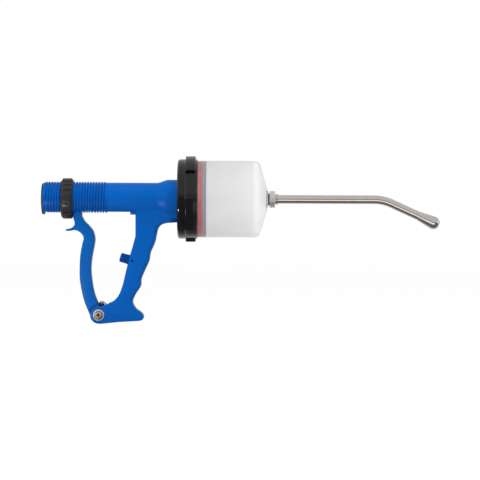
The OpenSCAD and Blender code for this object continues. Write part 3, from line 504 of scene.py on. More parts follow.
def hollow_fillet(name, stations, wall, radius, steps=8, root=0.0015):
    """A hollow fillet between a tube, given as (x, radius), and a flat wall at y below it."""
    bm = bmesh.new()
    side, half = math.copysign(1, wall), abs(wall)
    rows = []
    for x, tube in stations:
        drop = math.sqrt((tube + radius) ** 2 - (half + radius) ** 2)
        end = math.atan2(drop, half + radius)
        turns = [end * i / steps for i in range(steps + 1)]
        curve = [(half + radius - radius * math.cos(t), radius * math.sin(t) - drop) for t in turns]
        inner = (tube - root) / (tube + radius)
        curve += [((half + radius) * inner, -drop * inner), (half - root, -drop)]
        rows.append([bm.verts.new((x, side * y, z)) for y, z in curve])
    walled(bm, rows, capped=True)
    return new_piece(name, bm)


def wedge(name, corners, deep=0.012):
    """A three-sided block that stands on its corners, away from the middle plane."""
    a, b, c = (Vector(p) for p in corners)
    out = (b - a).cross(c - a).normalized() * deep
    if out.y * a.y < 0:
        out = -out
    bm = bmesh.new()
    rows = [[bm.verts.new(p + step) for p in (a, b, c)] for step in (Vector(), out)]
    walled(bm, rows, capped=True)
    return new_piece(name, bm)


def rod(name, start, end, radius, steps=64):
    """A round bar from one point to another."""
    start, end = Vector(start), Vector(end)
    long = (end - start).length
    piece = lathe(name, [(0, 0), (0, radius), (long, radius), (long, 0)], steps)
    turn = Vector((1, 0, 0)).rotation_difference(end - start).to_matrix().to_4x4()
    piece.data.transform(Matrix.Translation(start) @ turn)
    return piece


def crossbar(name, place, low, high, radius, steps=64):
    """A round bar across Y from low to high, at place, given as x and z."""
    x, z = place
    return rod(name, (x, low, z), (x, high, z), radius, steps)


def settled(piece, sharp):
    """The piece with its modifiers made part of a plain mesh."""
    evaluated = piece.evaluated_get(bpy.context.evaluated_depsgraph_get())
    mesh = bpy.data.meshes.new_from_object(evaluated)
    name = piece.name
    bpy.data.objects.remove(piece)
    return shaded(name, mesh, sharp)


def cut(piece, *cutters, sharp=SHARP):
    """The piece with the cutters taken out of it."""
    for cutter in cutters:
        step = piece.modifiers.new(cutter.name, "BOOLEAN")
        step.operation = "DIFFERENCE"
        step.solver = "EXACT"
        step.object = cutter
    made = settled(piece, sharp)
    for cutter in cutters:
        bpy.data.objects.remove(cutter)
    return made


def joined(name, *pieces):
    """One object that holds the meshes of several."""
    bm = bmesh.new()
    for piece in pieces:
        bm.from_mesh(piece.data)
        bpy.data.objects.remove(piece)
    mesh = bpy.data.meshes.new(name)
    bm.to_mesh(mesh)
    bm.free()
    return placed(name, mesh)


# Node trees that sweep a wire along a path and set copies around an axis


def noded(tree, family, *kinds):
    """New nodes of these kinds."""
    return [tree.nodes.new(family + kind) for kind in kinds]


def linked(tree, *runs):
    """Links nodes, each run naming a node and its output, then a node and its input."""
    for giver, given, taker, taken in runs:
        tree.links.new(giver.outputs[given], taker.inputs[taken])


def ranged(tree, value, *limits):
    """The value moved from one range, given as its two limits, to another."""
    node = tree.nodes.new("ShaderNodeMapRange")
    for socket, limit in zip(("From Min", "From Max", "To Min", "To Max"), limits):
        node.inputs[socket].default_value = limit
    tree.links.new(value, node.inputs["Value"])
    return node.outputs["Result"]


def new_tree(name, sockets):
    """A geometry tree with these inputs beside its geometry."""
    tree = bpy.data.node_groups.new(name, "GeometryNodeTree")
    tree.interface.new_socket("Geometry", in_out="OUTPUT", socket_type="NodeSocketGeometry")
    for label, kind in [("Geometry", "Geometry")] + sockets:
        tree.interface.new_socket(label, in_out="INPUT", socket_type="NodeSocket" + kind)
    return [tree] + noded(tree, "NodeGroup", "Input", "Output")


def close_tree(tree, inputs, outputs, last, socket):
    """Makes the last node's copies real, paints them and gives them out."""
    real, paint = noded(tree, "GeometryNode", "RealizeInstances", "SetMaterial")
    linked(
        tree, (last, socket, real, "Geometry"), (real, "Geometry", paint, "Geometry"),
        (inputs, "Finish", paint, "Material"), (paint, "Geometry", outputs, "Geometry"),
    )
    return tree


def swept_wire_tree():
    """A round wire along a line of edges."""
    sockets = [("Radius", "Float"), ("Sides", "Int"), ("Finish", "Material")]
    tree, inputs, outputs = new_tree("Swept Wire", sockets)
    path, ring, sweep = noded(
        tree, "GeometryNode", "MeshToCurve", "CurvePrimitiveCircle", "CurveToMesh",
    )
    sweep.inputs["Fill Caps"].default_value = True
    linked(
        tree, (inputs, "Geometry", path, "Mesh"), (inputs, "Radius", ring, "Radius"),
        (inputs, "Sides", ring, "Resolution"), (path, "Curve", sweep, "Curve"),
        (ring, "Curve", sweep, "Profile Curve"),
    )
    return close_tree(tree, inputs, outputs, sweep, "Mesh")


def turned_copies_tree():
    """Copies of the mesh, turned about the X axis in even steps."""
    sockets = [("Count", "Int"), ("Start", "Float"), ("Finish", "Material")]
    tree, inputs, outputs = new_tree("Turned Copies", sockets)
    spots, index, copies = noded(tree, "GeometryNode", "Points", "InputIndex", "InstanceOnPoints")
    share, turn, axis = noded(tree, "ShaderNode", "Math", "Math", "CombineXYZ")
    share.operation, turn.operation = "DIVIDE", "MULTIPLY_ADD"
    turn.inputs[1].default_value = 2 * math.pi
    linked(
        tree, (inputs, "Count", spots, "Count"), (index, "Index", share, 0),
        (inputs, "Count", share, 1), (share, 0, turn, 0), (inputs, "Start", turn, 2),
        (turn, 0, axis, "X"), (spots, "Points", copies, "Points"),
        (inputs, "Geometry", copies, "Instance"), (axis, "Vector", copies, "Rotation"),
    )
    return close_tree(tree, inputs, outputs, copies, "Instances")


def grown(piece, kind, sharp=SHARP, **values):
    """The plain mesh that a node tree of this kind makes from the piece."""
    tree = bpy.data.node_groups.get(kind) or {
        "Swept Wire": swept_wire_tree, "Turned Copies": turned_copies_tree,
    }[kind]()
    step = piece.modifiers.new(tree.name, "NODES")
    step.node_group = tree
    for socket in tree.interface.items_tree:
        if socket.in_out == "INPUT" and socket.name in values:
            step[socket.identifier] = values[socket.name]
    return settled(piece, sharp)


def wire(name, path, radius, sides, paint, sharp=50):
    """A round wire through the points of path."""
    mesh = bpy.data.meshes.new(name)
    mesh.from_pydata(path, [(i, i + 1) for i in range(len(path) - 1)], [])
    line = placed(name, mesh)
    return grown(line, "Swept Wire", sharp=sharp, Radius=radius, Sides=sides, Finish=paint)


def around(piece, number, start, paint):
    """Copies of the piece around the X axis."""
    return grown(piece, "Turned Copies", Count=number, Start=start, Finish=paint)


# Finishes


class Finish:
    """A material under construction, with short calls for its nodes."""

    def __init__(self, name):
        self.material = bpy.data.materials.new(name)
        self.material.use_nodes = True
        self.tree = self.material.node_tree
        self.tree.nodes.clear()
        self.shader = self.node("BsdfPrincipled")
        linked(self.tree, (self.shader, "BSDF", self.node("OutputMaterial"), "Surface"))
        self.place = self.node("TexCoord").outputs["Object"]

    def fill(self, node, inputs):
        """Sets the node's inputs, or links those that are given another node's output."""
        for name, value in inputs.items():
            socket = node.inputs[name.replace("_", " ")]
            if isinstance(value, bpy.types.NodeSocket):
                self.tree.links.new(value, socket)
            else:
                socket.default_value = value

    def node(self, kind, **inputs):
        node = self.tree.nodes.new("ShaderNode" + kind)
        self.fill(node, inputs)
        return node

    def stretched(self, scale):
        return self.node("Mapping", Scale=scale, Vector=self.place).outputs["Vector"]

    def noise(self, scale, detail, place=None):
        node = self.node("TexNoise", Scale=scale, Detail=detail, Vector=place or self.place)
        return node.outputs["Fac"]

    def spread(self, value, *limits):
        return ranged(self.tree, value, *limits)

    def between(self, value, first, second):
        node = self.node("Mix")
        node.data_type = "RGBA"
        self.fill(node, {"Factor": value, "A": (*first, 1), "B": (*second, 1)})
        return node.outputs["Result"]

    def bumps(self, value, depth, strength):
        return self.node("Bump", Height=value, Distance=depth, Strength=strength).outputs["Normal"]

    def done(self, **inputs):
        """The material, with these inputs on its shader."""
        self.fill(self.shader, inputs)
        return self.material


def lighter(colour, factor):
    return tuple(min(1.0, c * factor) for c in colour)


def moulded_plastic(name, colour, rough=0.32, depth=3e-6, vary=0.05, shine=0.07):
    """Injection-moulded plastic: slight flow marks, a fine skin and faint handling marks."""
    f = Finish(name)
    flow = f.spread(f.noise(38, 5), 0.3, 0.7, 0, 1)
    rubbed = f.noise(120, 6, f.stretched((0.35, 1, 1.6)))
    return f.done(
        Base_Color=f.between(flow, lighter(colour, 1 - vary), lighter(colour, 1 + vary)),
        Roughness=f.spread(rubbed, 0.3, 0.72, rough - 0.05, rough + 0.08),
        Normal=f.bumps(f.noise(2600, 3), depth, 0.5),
        IOR=1.49, Specular_IOR_Level=shine,
    )


def rubber(name, colour, rough=0.6):
    """Moulded rubber with a dusty skin."""
    f = Finish(name)
    dust = f.spread(f.noise(300, 6), 0.35, 0.75, 0, 1)
    return f.done(
        Base_Color=f.between(dust, colour, lighter(colour, 1.5)),
        Roughness=f.spread(f.noise(700, 3), 0.3, 0.7, rough - 0.08, rough + 0.1),
        Normal=f.bumps(f.noise(2200, 3), 6e-6, 0.6),
    )


def frosted(name, colour, rough, **see_through):
    """Milky moulded plastic, clear in its skin or veiled in its bore."""
    f = Finish(name)
    cloud = f.spread(f.noise(45, 4), 0.3, 0.7, 0, 1)
    return f.done(
        Base_Color=f.between(cloud, lighter(colour, 0.985), lighter(colour, 1.01)),
        Roughness=f.spread(f.noise(160, 4), 0.3, 0.7, rough * 0.8, rough * 1.2),
        Normal=f.bumps(f.noise(900, 3), 2e-6, 0.4),
        **see_through,
    )


def drawn_metal(name, colour, rough, lines=(1, 40, 40), grain=900, depth=2e-6, tarnish=0.1):
    """Metal with fine lines along or around it and a little tarnish."""
    f = Finish(name)
    stain = f.spread(f.noise(140, 6), 0.35, 0.7, 0, 1)
    line = f.noise(grain, 3, f.stretched(lines))
    return f.done(
        Base_Color=f.between(stain, colour, lighter(colour, 1 - tarnish)),
        Roughness=f.spread(line, 0.25, 0.75, rough * 0.75, rough * 1.3),
        Normal=f.bumps(line, depth, 0.5),
        Metallic=1.0,
    )


# How each finish is made, from which colour and with which looks
FINISHES = {
    "blue_body": (moulded_plastic, "body", dict()),
    "blue_lever": (moulded_plastic, "lever", dict(rough=0.36)),
    "blue_knob": (moulded_plastic, "knob", dict(rough=0.36)),
    # the stop pin's dark blue, also painted shade on the bush inside the lever spring
    "blue_dark": (moulded_plastic, "pin_and_shade_blue", dict(rough=0.4)),
    "blue_plate": (moulded_plastic, "plate", dict(rough=0.45)),
    "black_plastic": (moulded_plastic, "black", dict(rough=0.4, vary=0.15, shine=0.3)),
    "black_gloss": (moulded_plastic, "gloss", dict(rough=0.12, depth=1e-6, vary=0.12, shine=0.43)),
    # black rubber for the seals, and painted shade in the dose ring's grooves and the screw's socket
    "black_rubber": (rubber, "rubber", dict()),
    "red_seal": (rubber, "red", dict(rough=0.45)),
    "clear_barrel": (frosted, "skin", dict(rough=0.14, IOR=1.2, Transmission_Weight=0.84)),
    "milky_bore": (frosted, "clear", dict(rough=0.5, IOR=1.3, Alpha=0.88)),
    "white_plastic": (moulded_plastic, "white", dict(rough=0.45)),
    # near white on the washers: painted highlight round the screw head
    "white_nylon": (moulded_plastic, "nylon", dict(rough=0.4, vary=0.03)),
    "bronzed_steel": (drawn_metal, "bronzed", dict(rough=0.55, lines=(6, 1, 6), grain=260, depth=1e-6)),
    "zinc_steel": (drawn_metal, "zinc", dict(rough=0.32, lines=(6, 1, 6), grain=260)),
    "spring_steel": (drawn_metal, "spring", dict(rough=0.6)),
    "nozzle_steel": (
        drawn_metal, "nozzle", dict(rough=0.13, lines=(1, 14, 14), grain=120, depth=2e-7, tarnish=0.06),
    ),
    # the nozzle's plate made brighter for the hexagon: painted light
    "hexagon_steel": (
        drawn_metal, "hexagon", dict(rough=0.3, lines=(14, 1, 1), grain=160, depth=6e-7, tarnish=0.06),
    ),
    "ball_steel": (drawn_metal, "ball", dict(rough=0.12, lines=(1, 1, 1), grain=600)),
    "brass": (drawn_metal, "brass", dict(rough=0.3, lines=(8, 1, 1), grain=300)),
}


def finish(name):
    """The named finish, made when it is first asked for."""
    made = bpy.data.materials.get(name)
    if made and made.get("drencher"):
        return made
    maker, colour, looks = FINISHES[name]
    made = maker(name, getattr(bpy.context.scene.drencher_colours, colour), **looks)
    made.name = name
    made["drencher"] = True
    return made


def inlaid(piece, paint, picked):
    """Gives a second finish to the faces that are picked by their middle and their normal."""
    piece.data.materials.append(finish(paint))
    for face in piece.data.polygons:
        face.material_index = int(picked(face.center, face.normal))


def dress(piece, paint, body, *nodes, slot=None):
    """Gives the piece its finish and its body, and lets it stand for CAD nodes."""
    piece.data.materials.clear()
    piece.data.materials.append(finish(paint))
    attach(piece, body)
    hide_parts(*nodes)


# Operators: one for each piece or group of like pieces


class DRENCHER_OT_body(bpy.types.Operator):
    """Build the moulded body: threaded tube, grip, web and ears"""

    bl_idname = "drencher.body"
    bl_label = "Moulded Body"

    def execute(self, context):
        s, v = context.scene.drencher_body, context.scene.drencher_lever
        threaded = s.thread_x + s.thread_pitch * s.thread_turns
        rise, steps = s.neck_r - s.tube_r, 16
        flare = [(
            s.flare_x + s.flare_len * i / steps,
            s.tube_r + rise * (1 - math.cos(math.pi * i / steps)) / 2,
        ) for i in range(steps + 1)]
        rim, run_in = s.rear_x + 0.0018, s.rear_x + 0.0022
        run_out, plain, bare = threaded - 0.0012, threaded - 0.0008, s.tube_r - s.root
        tube = lathe("tube", rounded([
            (s.rear_x, s.bore_r, EDGE), (s.rear_x, s.tube_r, 2 * EDGE), (rim, s.tube_r, 0),
            (run_in, bare, 0), (run_out, bare, 0), (plain, s.tube_r, 0), (s.flare_x - 0.002, s.tube_r, 0),
        ]) + flare + [(s.neck_x, s.neck_r), (s.neck_x, s.bore_r)], 128)
        slot = ((-0.01, -s.slot_half, -0.03), (s.slot_x, s.slot_half, 0.0))
        tube = cut(tube, block("slot", *slot))
        around_steps, ridge_at = 72, s.tube_r + FIT
        turns = [2 * math.pi * i / around_steps for i in range(around_steps * s.thread_turns + 1)]
        thread = wire("thread", [
            (
                s.thread_x + s.thread_pitch * t / (2 * math.pi),
                -ridge_at * math.cos(t), ridge_at * math.sin(t),
            )
            for t in turns
        ], s.ridge_r, 12, finish("blue_body"), sharp=80)
        thread = cut(thread, block("thread_slot", *slot), sharp=80)
        reach, drop = s.grip_reach, v.pivot_drop
        eared = arc((0, 0), s.ear_r, 92, 268, 30)
        rear = [(x * reach, z * drop) for x, z in flowing(GRIP_REAR)]
        fingers = [(x * reach, z * drop) for x, z in flowing(GRIP_FINGERS)]
        end, top, tuck = s.gusset_x - v.pivot_x, GRIP_REAR[0][0] * reach, drop - 0.012
        outline = [(top, drop), (top, tuck)] + rear + eared + fingers
        outline += [(end, WEB_FOOT_SHARE * drop), (end, tuck), (end, drop)]
        # points on the finger side that belong to the grip's foot and to the web
        foot, web = 52, 24
        radii = stretches(
            (EDGE, 2), (0.0016, len(rear)), (0.0009, len(eared)), (0.0014, foot),
            (0.0034, len(fingers) - foot - web), (0.0042, web), (0.0008, 1), (EDGE, 2),
        )
        outline = [(x + v.pivot_x, z - drop, r) for (x, z), r in zip(outline, radii)]
        grip = slab("grip", *eased(outline), s.grip_w / 2)
        eye = (v.pivot_x, -drop)
        chamfer_x, chamfer_end, chamfer_top, chamfer_foot = 0.119, 0.136, -0.0165, -0.0262
        # the grip ends inside the tube's wall, along the whole body
        room_r, room_end = s.bore_r + 0.0012, 0.2
        grip = cut(
            grip,
            rod("bore", (0, 0, 0), (room_end, 0, 0), room_r),
            crossbar("clevis", eye, -s.clevis_half, s.clevis_half, s.clevis_r, 96),
            crossbar("pivot_bore", eye, -OVER, OVER, v.screw_r + FIT),
            crossbar("stop_pin_hole", STOP_PIN, -OVER, STOP_PIN_HOLE_END, STOP_PIN_HOLE_R),
            *(wedge("web_chamfer", [
                (chamfer_x, y, chamfer_foot), (chamfer_end, y, chamfer_top),
                (chamfer_end, 0.2 * y, chamfer_foot),
            ]) for y in (-s.grip_w / 2, s.grip_w / 2)),
        )
        walls = [(top + v.pivot_x + 0.0004, s.tube_r)] + flare + [(s.gusset_x - 0.0003, s.neck_r)]
        fillets = [hollow_fillet("fillet", walls, side * s.grip_w / 2, 0.008) for side in (-1, 1)]
        body = joined("moulded_body", tube, thread, grip, *fillets)
        dress(body, "blue_body", "frame", "main_body")
        return {"FINISHED"}


class DRENCHER_OT_lever(bpy.types.Operator):
    """Build the squeeze lever with its thumb spur, fork and cheeks"""

    bl_idname = "drencher.lever"
    bl_label = "Squeeze Lever"

    def execute(self, context):
        v = context.scene.drencher_lever
        drop, eye = v.pivot_drop, (v.pivot_x, -v.pivot_drop)
        front = (v.pin_x + v.neck_w / 2 - v.pivot_x) / v.bow
        palm = [(x * v.bow, z * drop) for x, z in flowing(LEVER_PALM + [(front, NECK_FOOT_SHARE)])]
        prong = arc((v.pin_x - v.pivot_x, drop + v.prong_top - v.neck_w / 2), v.neck_w / 2, 0, 180, 16)
        spur = [(x * v.bow, z * drop) for x, z in flowing(LEVER_SPUR + LEVER_BACK)]
        turn = arc((0, 0), v.eye_r, 186, 444, 40)
        # points that belong to the thin spur and to the prongs' neck
        thin, neck = FLOW_STEPS * len(LEVER_SPUR), 12
        radii = stretches(
            (0.0016, len(palm) - neck), (0.0007, neck + len(prong)), (0.0006, thin),
            (0.0016, len(spur) - thin), (0.0008, len(turn)),
        )
        outline = [(x + eye[0], z + eye[1], r) for (x, z), r in zip(palm + prong + spur + turn, radii)]
        fine, past = 0.0004, 0.01
        lever = slab("squeeze_lever", *eased(outline, fine), v.lever_w / 2)
        lever = cut(
            lever,
            crossbar("left_shoulder", eye, -OVER, -v.cheek_out, v.shoulder_r, 96),
            crossbar("right_shoulder", eye, v.cheek_out, OVER, v.shoulder_r, 96),
            crossbar("foot_room", eye, -v.cheek_in, v.cheek_in, v.foot_room_r, 96),
            crossbar("eye", eye, -OVER, OVER, v.screw_r + FIT),
            crossbar("pin_bore", (v.pin_x, 0), -OVER, OVER, DRIVE_PIN_BORE_R),
            block(
                "fork", (v.pin_x - past, -v.fork_half, -v.fork_drop), (v.pin_x + past, v.fork_half, OVER),
            ),
        )
        dress(lever, "blue_lever", "lever_group", "lever")
        return {"FINISHED"}


class DRENCHER_OT_rear_cap(bpy.types.Operator):
    """Build the rear cap with the feed port and the tongue that closes the slot"""

    bl_idname = "drencher.rear_cap"
    bl_label = "Rear Cap"

    def execute(self, context):
        s = context.scene.drencher_body
        port, plug, thick, rim = s.port_r, s.bore_r - FIT, s.rear_x, s.tube_r - 0.0008
        cap = lathe("cap", rounded([
            (0, port, 0.0005), (0, rim, 0.0009), (thick, rim, 0.0001), (thick, plug, 0),
            (s.plug_x, plug, 0.0005), (s.plug_x, port, EDGE),
        ], 6), 96)
        span = 2 * s.tongue_half / s.tube_r
        tongue = sector("tongue", (0.0002, s.tongue_x), (plug - 0.001, s.tube_r), span, 10)
        tongue.data.transform(Matrix.Rotation(math.pi, 4, "X"))
        dress(joined("domed_rear_cap", cap, tongue), "black_plastic", "frame", "rear_cap")
        return {"FINISHED"}


class DRENCHER_OT_dose_ring(bpy.types.Operator):
    """Build the ribbed dose ring"""

    bl_idname = "drencher.dose_ring"
    bl_label = "Dose Ring"

    def execute(self, context):
        r = context.scene.drencher_rings
        rib_h, shoulder, rib_share, rib_turn = 0.0012, 0.0014, 1.45, math.radians(5)
        x0, x1, base = r.dose_x, r.dose_x + r.dose_w, r.dose_r - rib_h
        ring = lathe("ring", rounded([
            (x0, r.dose_bore, EDGE), (x0, base, shoulder), (x1, base, shoulder), (x1, r.dose_bore, EDGE),
        ], 8), 120)
        span = rib_share * math.pi / r.dose_ribs
        rib = sector("rib", (x0 + shoulder, x1 - shoulder), (base - rib_h, r.dose_r), span, 4, 0.0006)
        ribs = around(rib, r.dose_ribs, rib_turn, finish("black_plastic"))
        piece = joined("ribbed_dose_ring", ring, ribs)
        dress(piece, "black_plastic", "dose_ring_body", "dose_ring")
        # the grooves between the ribs get the darker rubber finish: painted shade in the grooves
        inlaid(piece, "black_rubber", lambda at, out: (
            math.hypot(at.y, at.z) < base + 0.0002 and x0 + 0.0012 < at.x < x1 - 0.0012
        ))
        return {"FINISHED"}


class DRENCHER_OT_lock_ring(bpy.types.Operator):
    """Build the lock ring with its lugs"""

    bl_idname = "drencher.lock_ring"
    bl_label = "Lock Ring"

    def execute(self, context):
        r, s = context.scene.drencher_rings, context.scene.drencher_body
        x0, x1, inner = r.lock_x, r.lock_x + r.lock_w, r.lock_r - r.lock_wall
        seam, bead_r, lip_r, lip = r.lug_x + 0.0004, r.lock_r + 0.0006, s.neck_r + EDGE, x0 + r.lock_lip
        bead, top = 0.0008, 0.0002
        ring = lathe("ring", rounded([
            (x0, lip_r, EDGE), (x0, r.lock_r, 0.0028), (seam - bead, r.lock_r, 0),
            (seam - top, bead_r, top), (seam + top, bead_r, top), (seam + bead, r.lock_r, 0),
            (x1, r.lock_r, 0.0014), (x1, inner, 0.0004), (lip, inner, 0), (lip, lip_r, EDGE),
        ], 7), 160)
        along, radii = (r.lug_x, r.lug_x + r.lug_w), (inner + r.lock_wall / 2, r.lug_r)
        lug = sector("lug", along, radii, r.lug_arc, 18, 0.0009, 4)
        lugs = around(lug, r.lug_count, r.lug_turn, finish("black_gloss"))
        dress(joined("lugged_lock_ring", ring, lugs), "black_gloss", "frame", "lock_ring")
        return {"FINISHED"}


class DRENCHER_OT_barrel(bpy.types.Operator):
    """Build the frosted barrel"""

    bl_idname = "drencher.barrel"
    bl_label = "Frosted Barrel"

    def execute(self, context):
        b = context.scene.drencher_barrel
        rise = math.tan(b.cone)
        face = b.spout_x + (b.spout_r - b.outer_r) * rise
        wall = b.outer_r - b.bore_r
        inside = face - wall / math.cos(b.cone) + wall * rise
        outline = rounded([
            (b.rear_x, b.bore_r, EDGE), (b.rear_x, b.collar_r, EDGE), (b.step_x, b.collar_r, 0),
            (b.step_x, b.outer_r, 0.0004), (face, b.outer_r, b.corner_r), (b.spout_x, b.spout_r, 0.0006),
            (b.spout_x, b.spout_bore, EDGE), (b.boss_x, b.spout_bore, EDGE), (b.boss_x, b.boss_r, 0.0004),
            (inside + (b.bore_r - b.boss_r) * rise, b.boss_r, 0), (inside, b.bore_r, b.corner_r - 0.002),
        ], 10)
        barrel = lathe("frosted_barrel", outline, 160)
        dress(barrel, "clear_barrel", "frame", "barrel")

        def milky(at, out):
            radial = math.hypot(at.y, at.z)
            bored = radial < b.spout_r or radial < b.bore_r + FIT and out.x < 0
            inward = out.y * at.y + out.z * at.z < -0.1 * radial
            return bored or inward or at.x > b.spout_x - 0.0012

        inlaid(barrel, "milky_bore", milky)
        return {"FINISHED"}


class DRENCHER_OT_nozzle(bpy.types.Operator):
    """Build the hexagon, ferrule, bent tube and round-ended tip of the nozzle"""

    bl_idname = "drencher.nozzle"
    bl_label = "Nozzle"

    def execute(self, context):
        z, b = context.scene.drencher_nozzle, context.scene.drencher_barrel
        corner = z.hex_w / 2 + 0.0002
        end = z.hex_x + z.hex_len
        bm = bmesh.new()
        rows = []
        for x in (z.hex_x, end):
            turns = [math.pi * i / 3 + z.hex_turn for i in range(6)]
            rows.append([bm.verts.new((x, corner * math.sin(t), corner * math.cos(t))) for t in turns])
        walled(bm, rows, capped=True)
        bmesh.ops.recalc_face_normals(bm, faces=bm.faces)
        softened(bm, bm.edges[:], 0.0007)
        hexagon = new_piece("hexagon", bm)
        bore = rod("hex_bore", (z.hex_x - 0.01, 0, 0), (end + 0.01, 0, 0), z.tube_r + FIT)
        hexagon = cut(hexagon, bore)
        rear, front = b.spout_x - 0.008, z.hex_x + 0.001
        inner, outer = z.tube_r - 0.001, b.spout_bore - FIT
        stem = lathe("stem", rounded([
            (rear, inner, 0), (rear, outer, EDGE), (front, outer, 0), (front, inner, 0),
        ]), 64)
        adapter = joined("nozzle_hexagon", hexagon, stem)
        # the hexagon gets the brighter copy of the nozzle's plate: painted light
        dress(adapter, "hexagon_steel", "frame", "nozzle_adapter", slot="nozzle_steel")
        top = end + z.ferrule_len
        ferrule = lathe("nozzle_collar", rounded([
            (end, z.tube_r + FIT, 0), (end, z.ferrule_r - 0.0003, 0.0002),
            (end + 0.0009, z.ferrule_r - 0.0006, 0.0004), (end + 0.0017, z.ferrule_r, 0.0005),
            (top, z.ferrule_r - 0.0001, 0.0008), (top, z.tube_r + FIT, 0),
        ], 6), 72)
        dress(ferrule, "nozzle_steel", "frame", "nozzle_ferrule")
        path = [(z.tube_x, 0, 0), (z.bend_x - 0.004, 0, 0)]
        steps = 32
        for i in range(steps + 1):
            t = z.bend * i / steps
            path.append((z.bend_x + z.bend_r * math.sin(t), 0, -z.bend_r * (1 - math.cos(t))))
        on = Vector((math.cos(z.bend), 0, -math.sin(z.bend)))
        seam = Vector(path[-1]) + on * z.drop_len
        path += [tuple(Vector(path[-1]) + on * 0.004), tuple(seam + on * 0.003)]
        tube = wire("bent_nozzle", path, z.tube_r, 56, finish("nozzle_steel"))
        dress(tube, "nozzle_steel", "frame", "nozzle_tube")
        ball = z.tip_len
        start = math.degrees(math.atan2(z.tip_r - z.tip_foot_r, ball))
        open_at = math.degrees(math.asin(z.outlet_r / z.tip_r))
        dome = arc((ball, 0), z.tip_r, 90 + start * 0.7, open_at + 3, 26)
        lip = ball + z.tip_r * math.cos(math.radians(open_at))
        socket, socket_r, inner, back = 0.0032, z.tube_r - 0.0004, z.tube_r - 0.0012, lip - 0.006
        foot = rounded([
            (0, socket_r, 0), (0, z.tip_foot_r, EDGE), (0.0016, z.tip_foot_r + 0.0002, 0),
        ])
        hollow = [
            (lip - 0.0004, z.outlet_r), (back, z.outlet_r), (back, inner),
            (socket, inner), (socket, socket_r),
        ]
        tip = lathe("round_tip", foot + dome + hollow, 72)
        tip.data.transform(Matrix.Translation(seam) @ Matrix.Rotation(z.bend, 4, "Y"))
        dress(tip, "nozzle_steel", "frame", "nozzle_tip")
        return {"FINISHED"}


class DRENCHER_OT_springs(bpy.types.Operator):
    """Wind the lever spring and the two valve springs"""

    bl_idname = "drencher.springs"
    bl_label = "Springs"

    def execute(self, context):
        v = context.scene.drencher_lever
        x, z = SPRING_MIDDLE
        start, sweep, steps = math.radians(210), math.radians(2 * 360 + 60), 90
        lever_leg, grip_leg = 0.018, 0.014

        def coil(turn, y):
            return Vector((x + v.coil_r * math.cos(turn), y, z + v.coil_r * math.sin(turn)))

        def way(turn):
            return Vector((-math.sin(turn), 0, math.cos(turn)))

        path = [coil(start, -v.coil_w / 2) - way(start) * lever_leg]
        for i in range(steps + 1):
            path.append(coil(start + sweep * i / steps, v.coil_w * (i / steps - 0.5)))
        path.append(path[-1] + way(start + sweep) * grip_leg)
        wound = wire("wound", [tuple(p) for p in path], v.coil_wire, 12, finish("spring_steel"))
        # a dark bush inside the coil: painted shade where the inside of the coil lies in shadow
        bush = crossbar("bush", SPRING_MIDDLE, -v.coil_w / 2, v.coil_w / 2, SPRING_SHADE_BUSH_R)
        spring = joined("wound_lever_spring", wound, bush)
        spring.data.materials.append(finish("spring_steel"))
        shade_bush_reach = SPRING_SHADE_BUSH_R + 0.00005
        inlaid(spring, "blue_dark", lambda at, out: math.hypot(at.x - x, at.z - z) < shade_bush_reach)
        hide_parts("lever_spring")
        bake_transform(spring)
        for node, body, joint in (
            ("inlet_spring", "piston_group", "inlet_lift"), ("outlet_spring", "frame", "outlet_lift"),
        ):
            low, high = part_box(node)
            turns, turn_steps, reach = 5, 20, (high.z - low.z) / 2 - VALVE_WIRE_R
            points = []
            for i in range(turns * turn_steps + 1):
                t = 2 * math.pi * i / turn_steps
                along = low.x + VALVE_WIRE_R + (high.x - low.x - 2 * VALVE_WIRE_R) * i / (turns * turn_steps)
                points.append((along, reach * math.cos(t), reach * math.sin(t)))
            coiled = wire("wound_" + node, points, VALVE_WIRE_R, 8, finish("spring_steel"))
            dress(coiled, "spring_steel", body, node)
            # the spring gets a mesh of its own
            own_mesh(coiled)
        return {"FINISHED"}


class DRENCHER_OT_pivot(bpy.types.Operator):
    """Build the pivot's screw and washers"""

    bl_idname = "drencher.pivot"
    bl_label = "Pivot Fastener"

    def execute(self, context):
        v, s = context.scene.drencher_lever, context.scene.drencher_body
        place = Matrix.Translation((v.pivot_x, 0, -v.pivot_drop)) @ Matrix.Rotation(math.pi / 2, 4, "Z")
        seat = s.grip_w / 2 + v.washer_t
        top = seat + v.head_h
        long = seat + v.nut_h
        socket_r, floor, crown_r = 0.0017, -top + v.head_h / 2, 0.0029
        screw = lathe("domed_pivot_screw", rounded([
            (floor, 0, 0), (floor, socket_r, 0.0001), (-top + 0.0001, socket_r, 0.0002),
            (-top, crown_r, 0.0012), (-seat - 0.0008, v.head_r, 0.0006), (-seat, v.head_r, 0.0002),
            (-seat, v.screw_r, 0), (long - 0.0004, v.screw_r, EDGE), (long, v.screw_r - 0.0004, 0),
            (long, 0, 0),
        ], 6), 64)
        screw.data.transform(place)
        dress(screw, "bronzed_steel", "frame", "pivot_screw", slot="zinc_steel")
        # the socket's faces get the black rubber finish: painted shade inside the hole
        inlaid(screw, "black_rubber", lambda at, out: (
            at.y < 0 and math.hypot(at.x - v.pivot_x, at.z + v.pivot_drop) < socket_r + 0.00005
        ))
        sides = []
        for side in (-1, 1):
            a, b = side * s.grip_w / 2, side * seat
            sides.append(lathe("washer", rounded([
                (a, v.screw_r + FIT, 0.0001), (a, v.washer_r, 0.0001),
                (b, v.washer_r, EDGE), (b, v.screw_r + FIT, 0.0001),
            ], 4), 64))
        washers = joined("pressed_washers", *sides)
        washers.data.transform(place)
        # the washers are painted near white: painted highlight round the screw head
        dress(washers, "white_nylon", "frame", "pivot_washers", slot="zinc_steel")
        return {"FINISHED"}


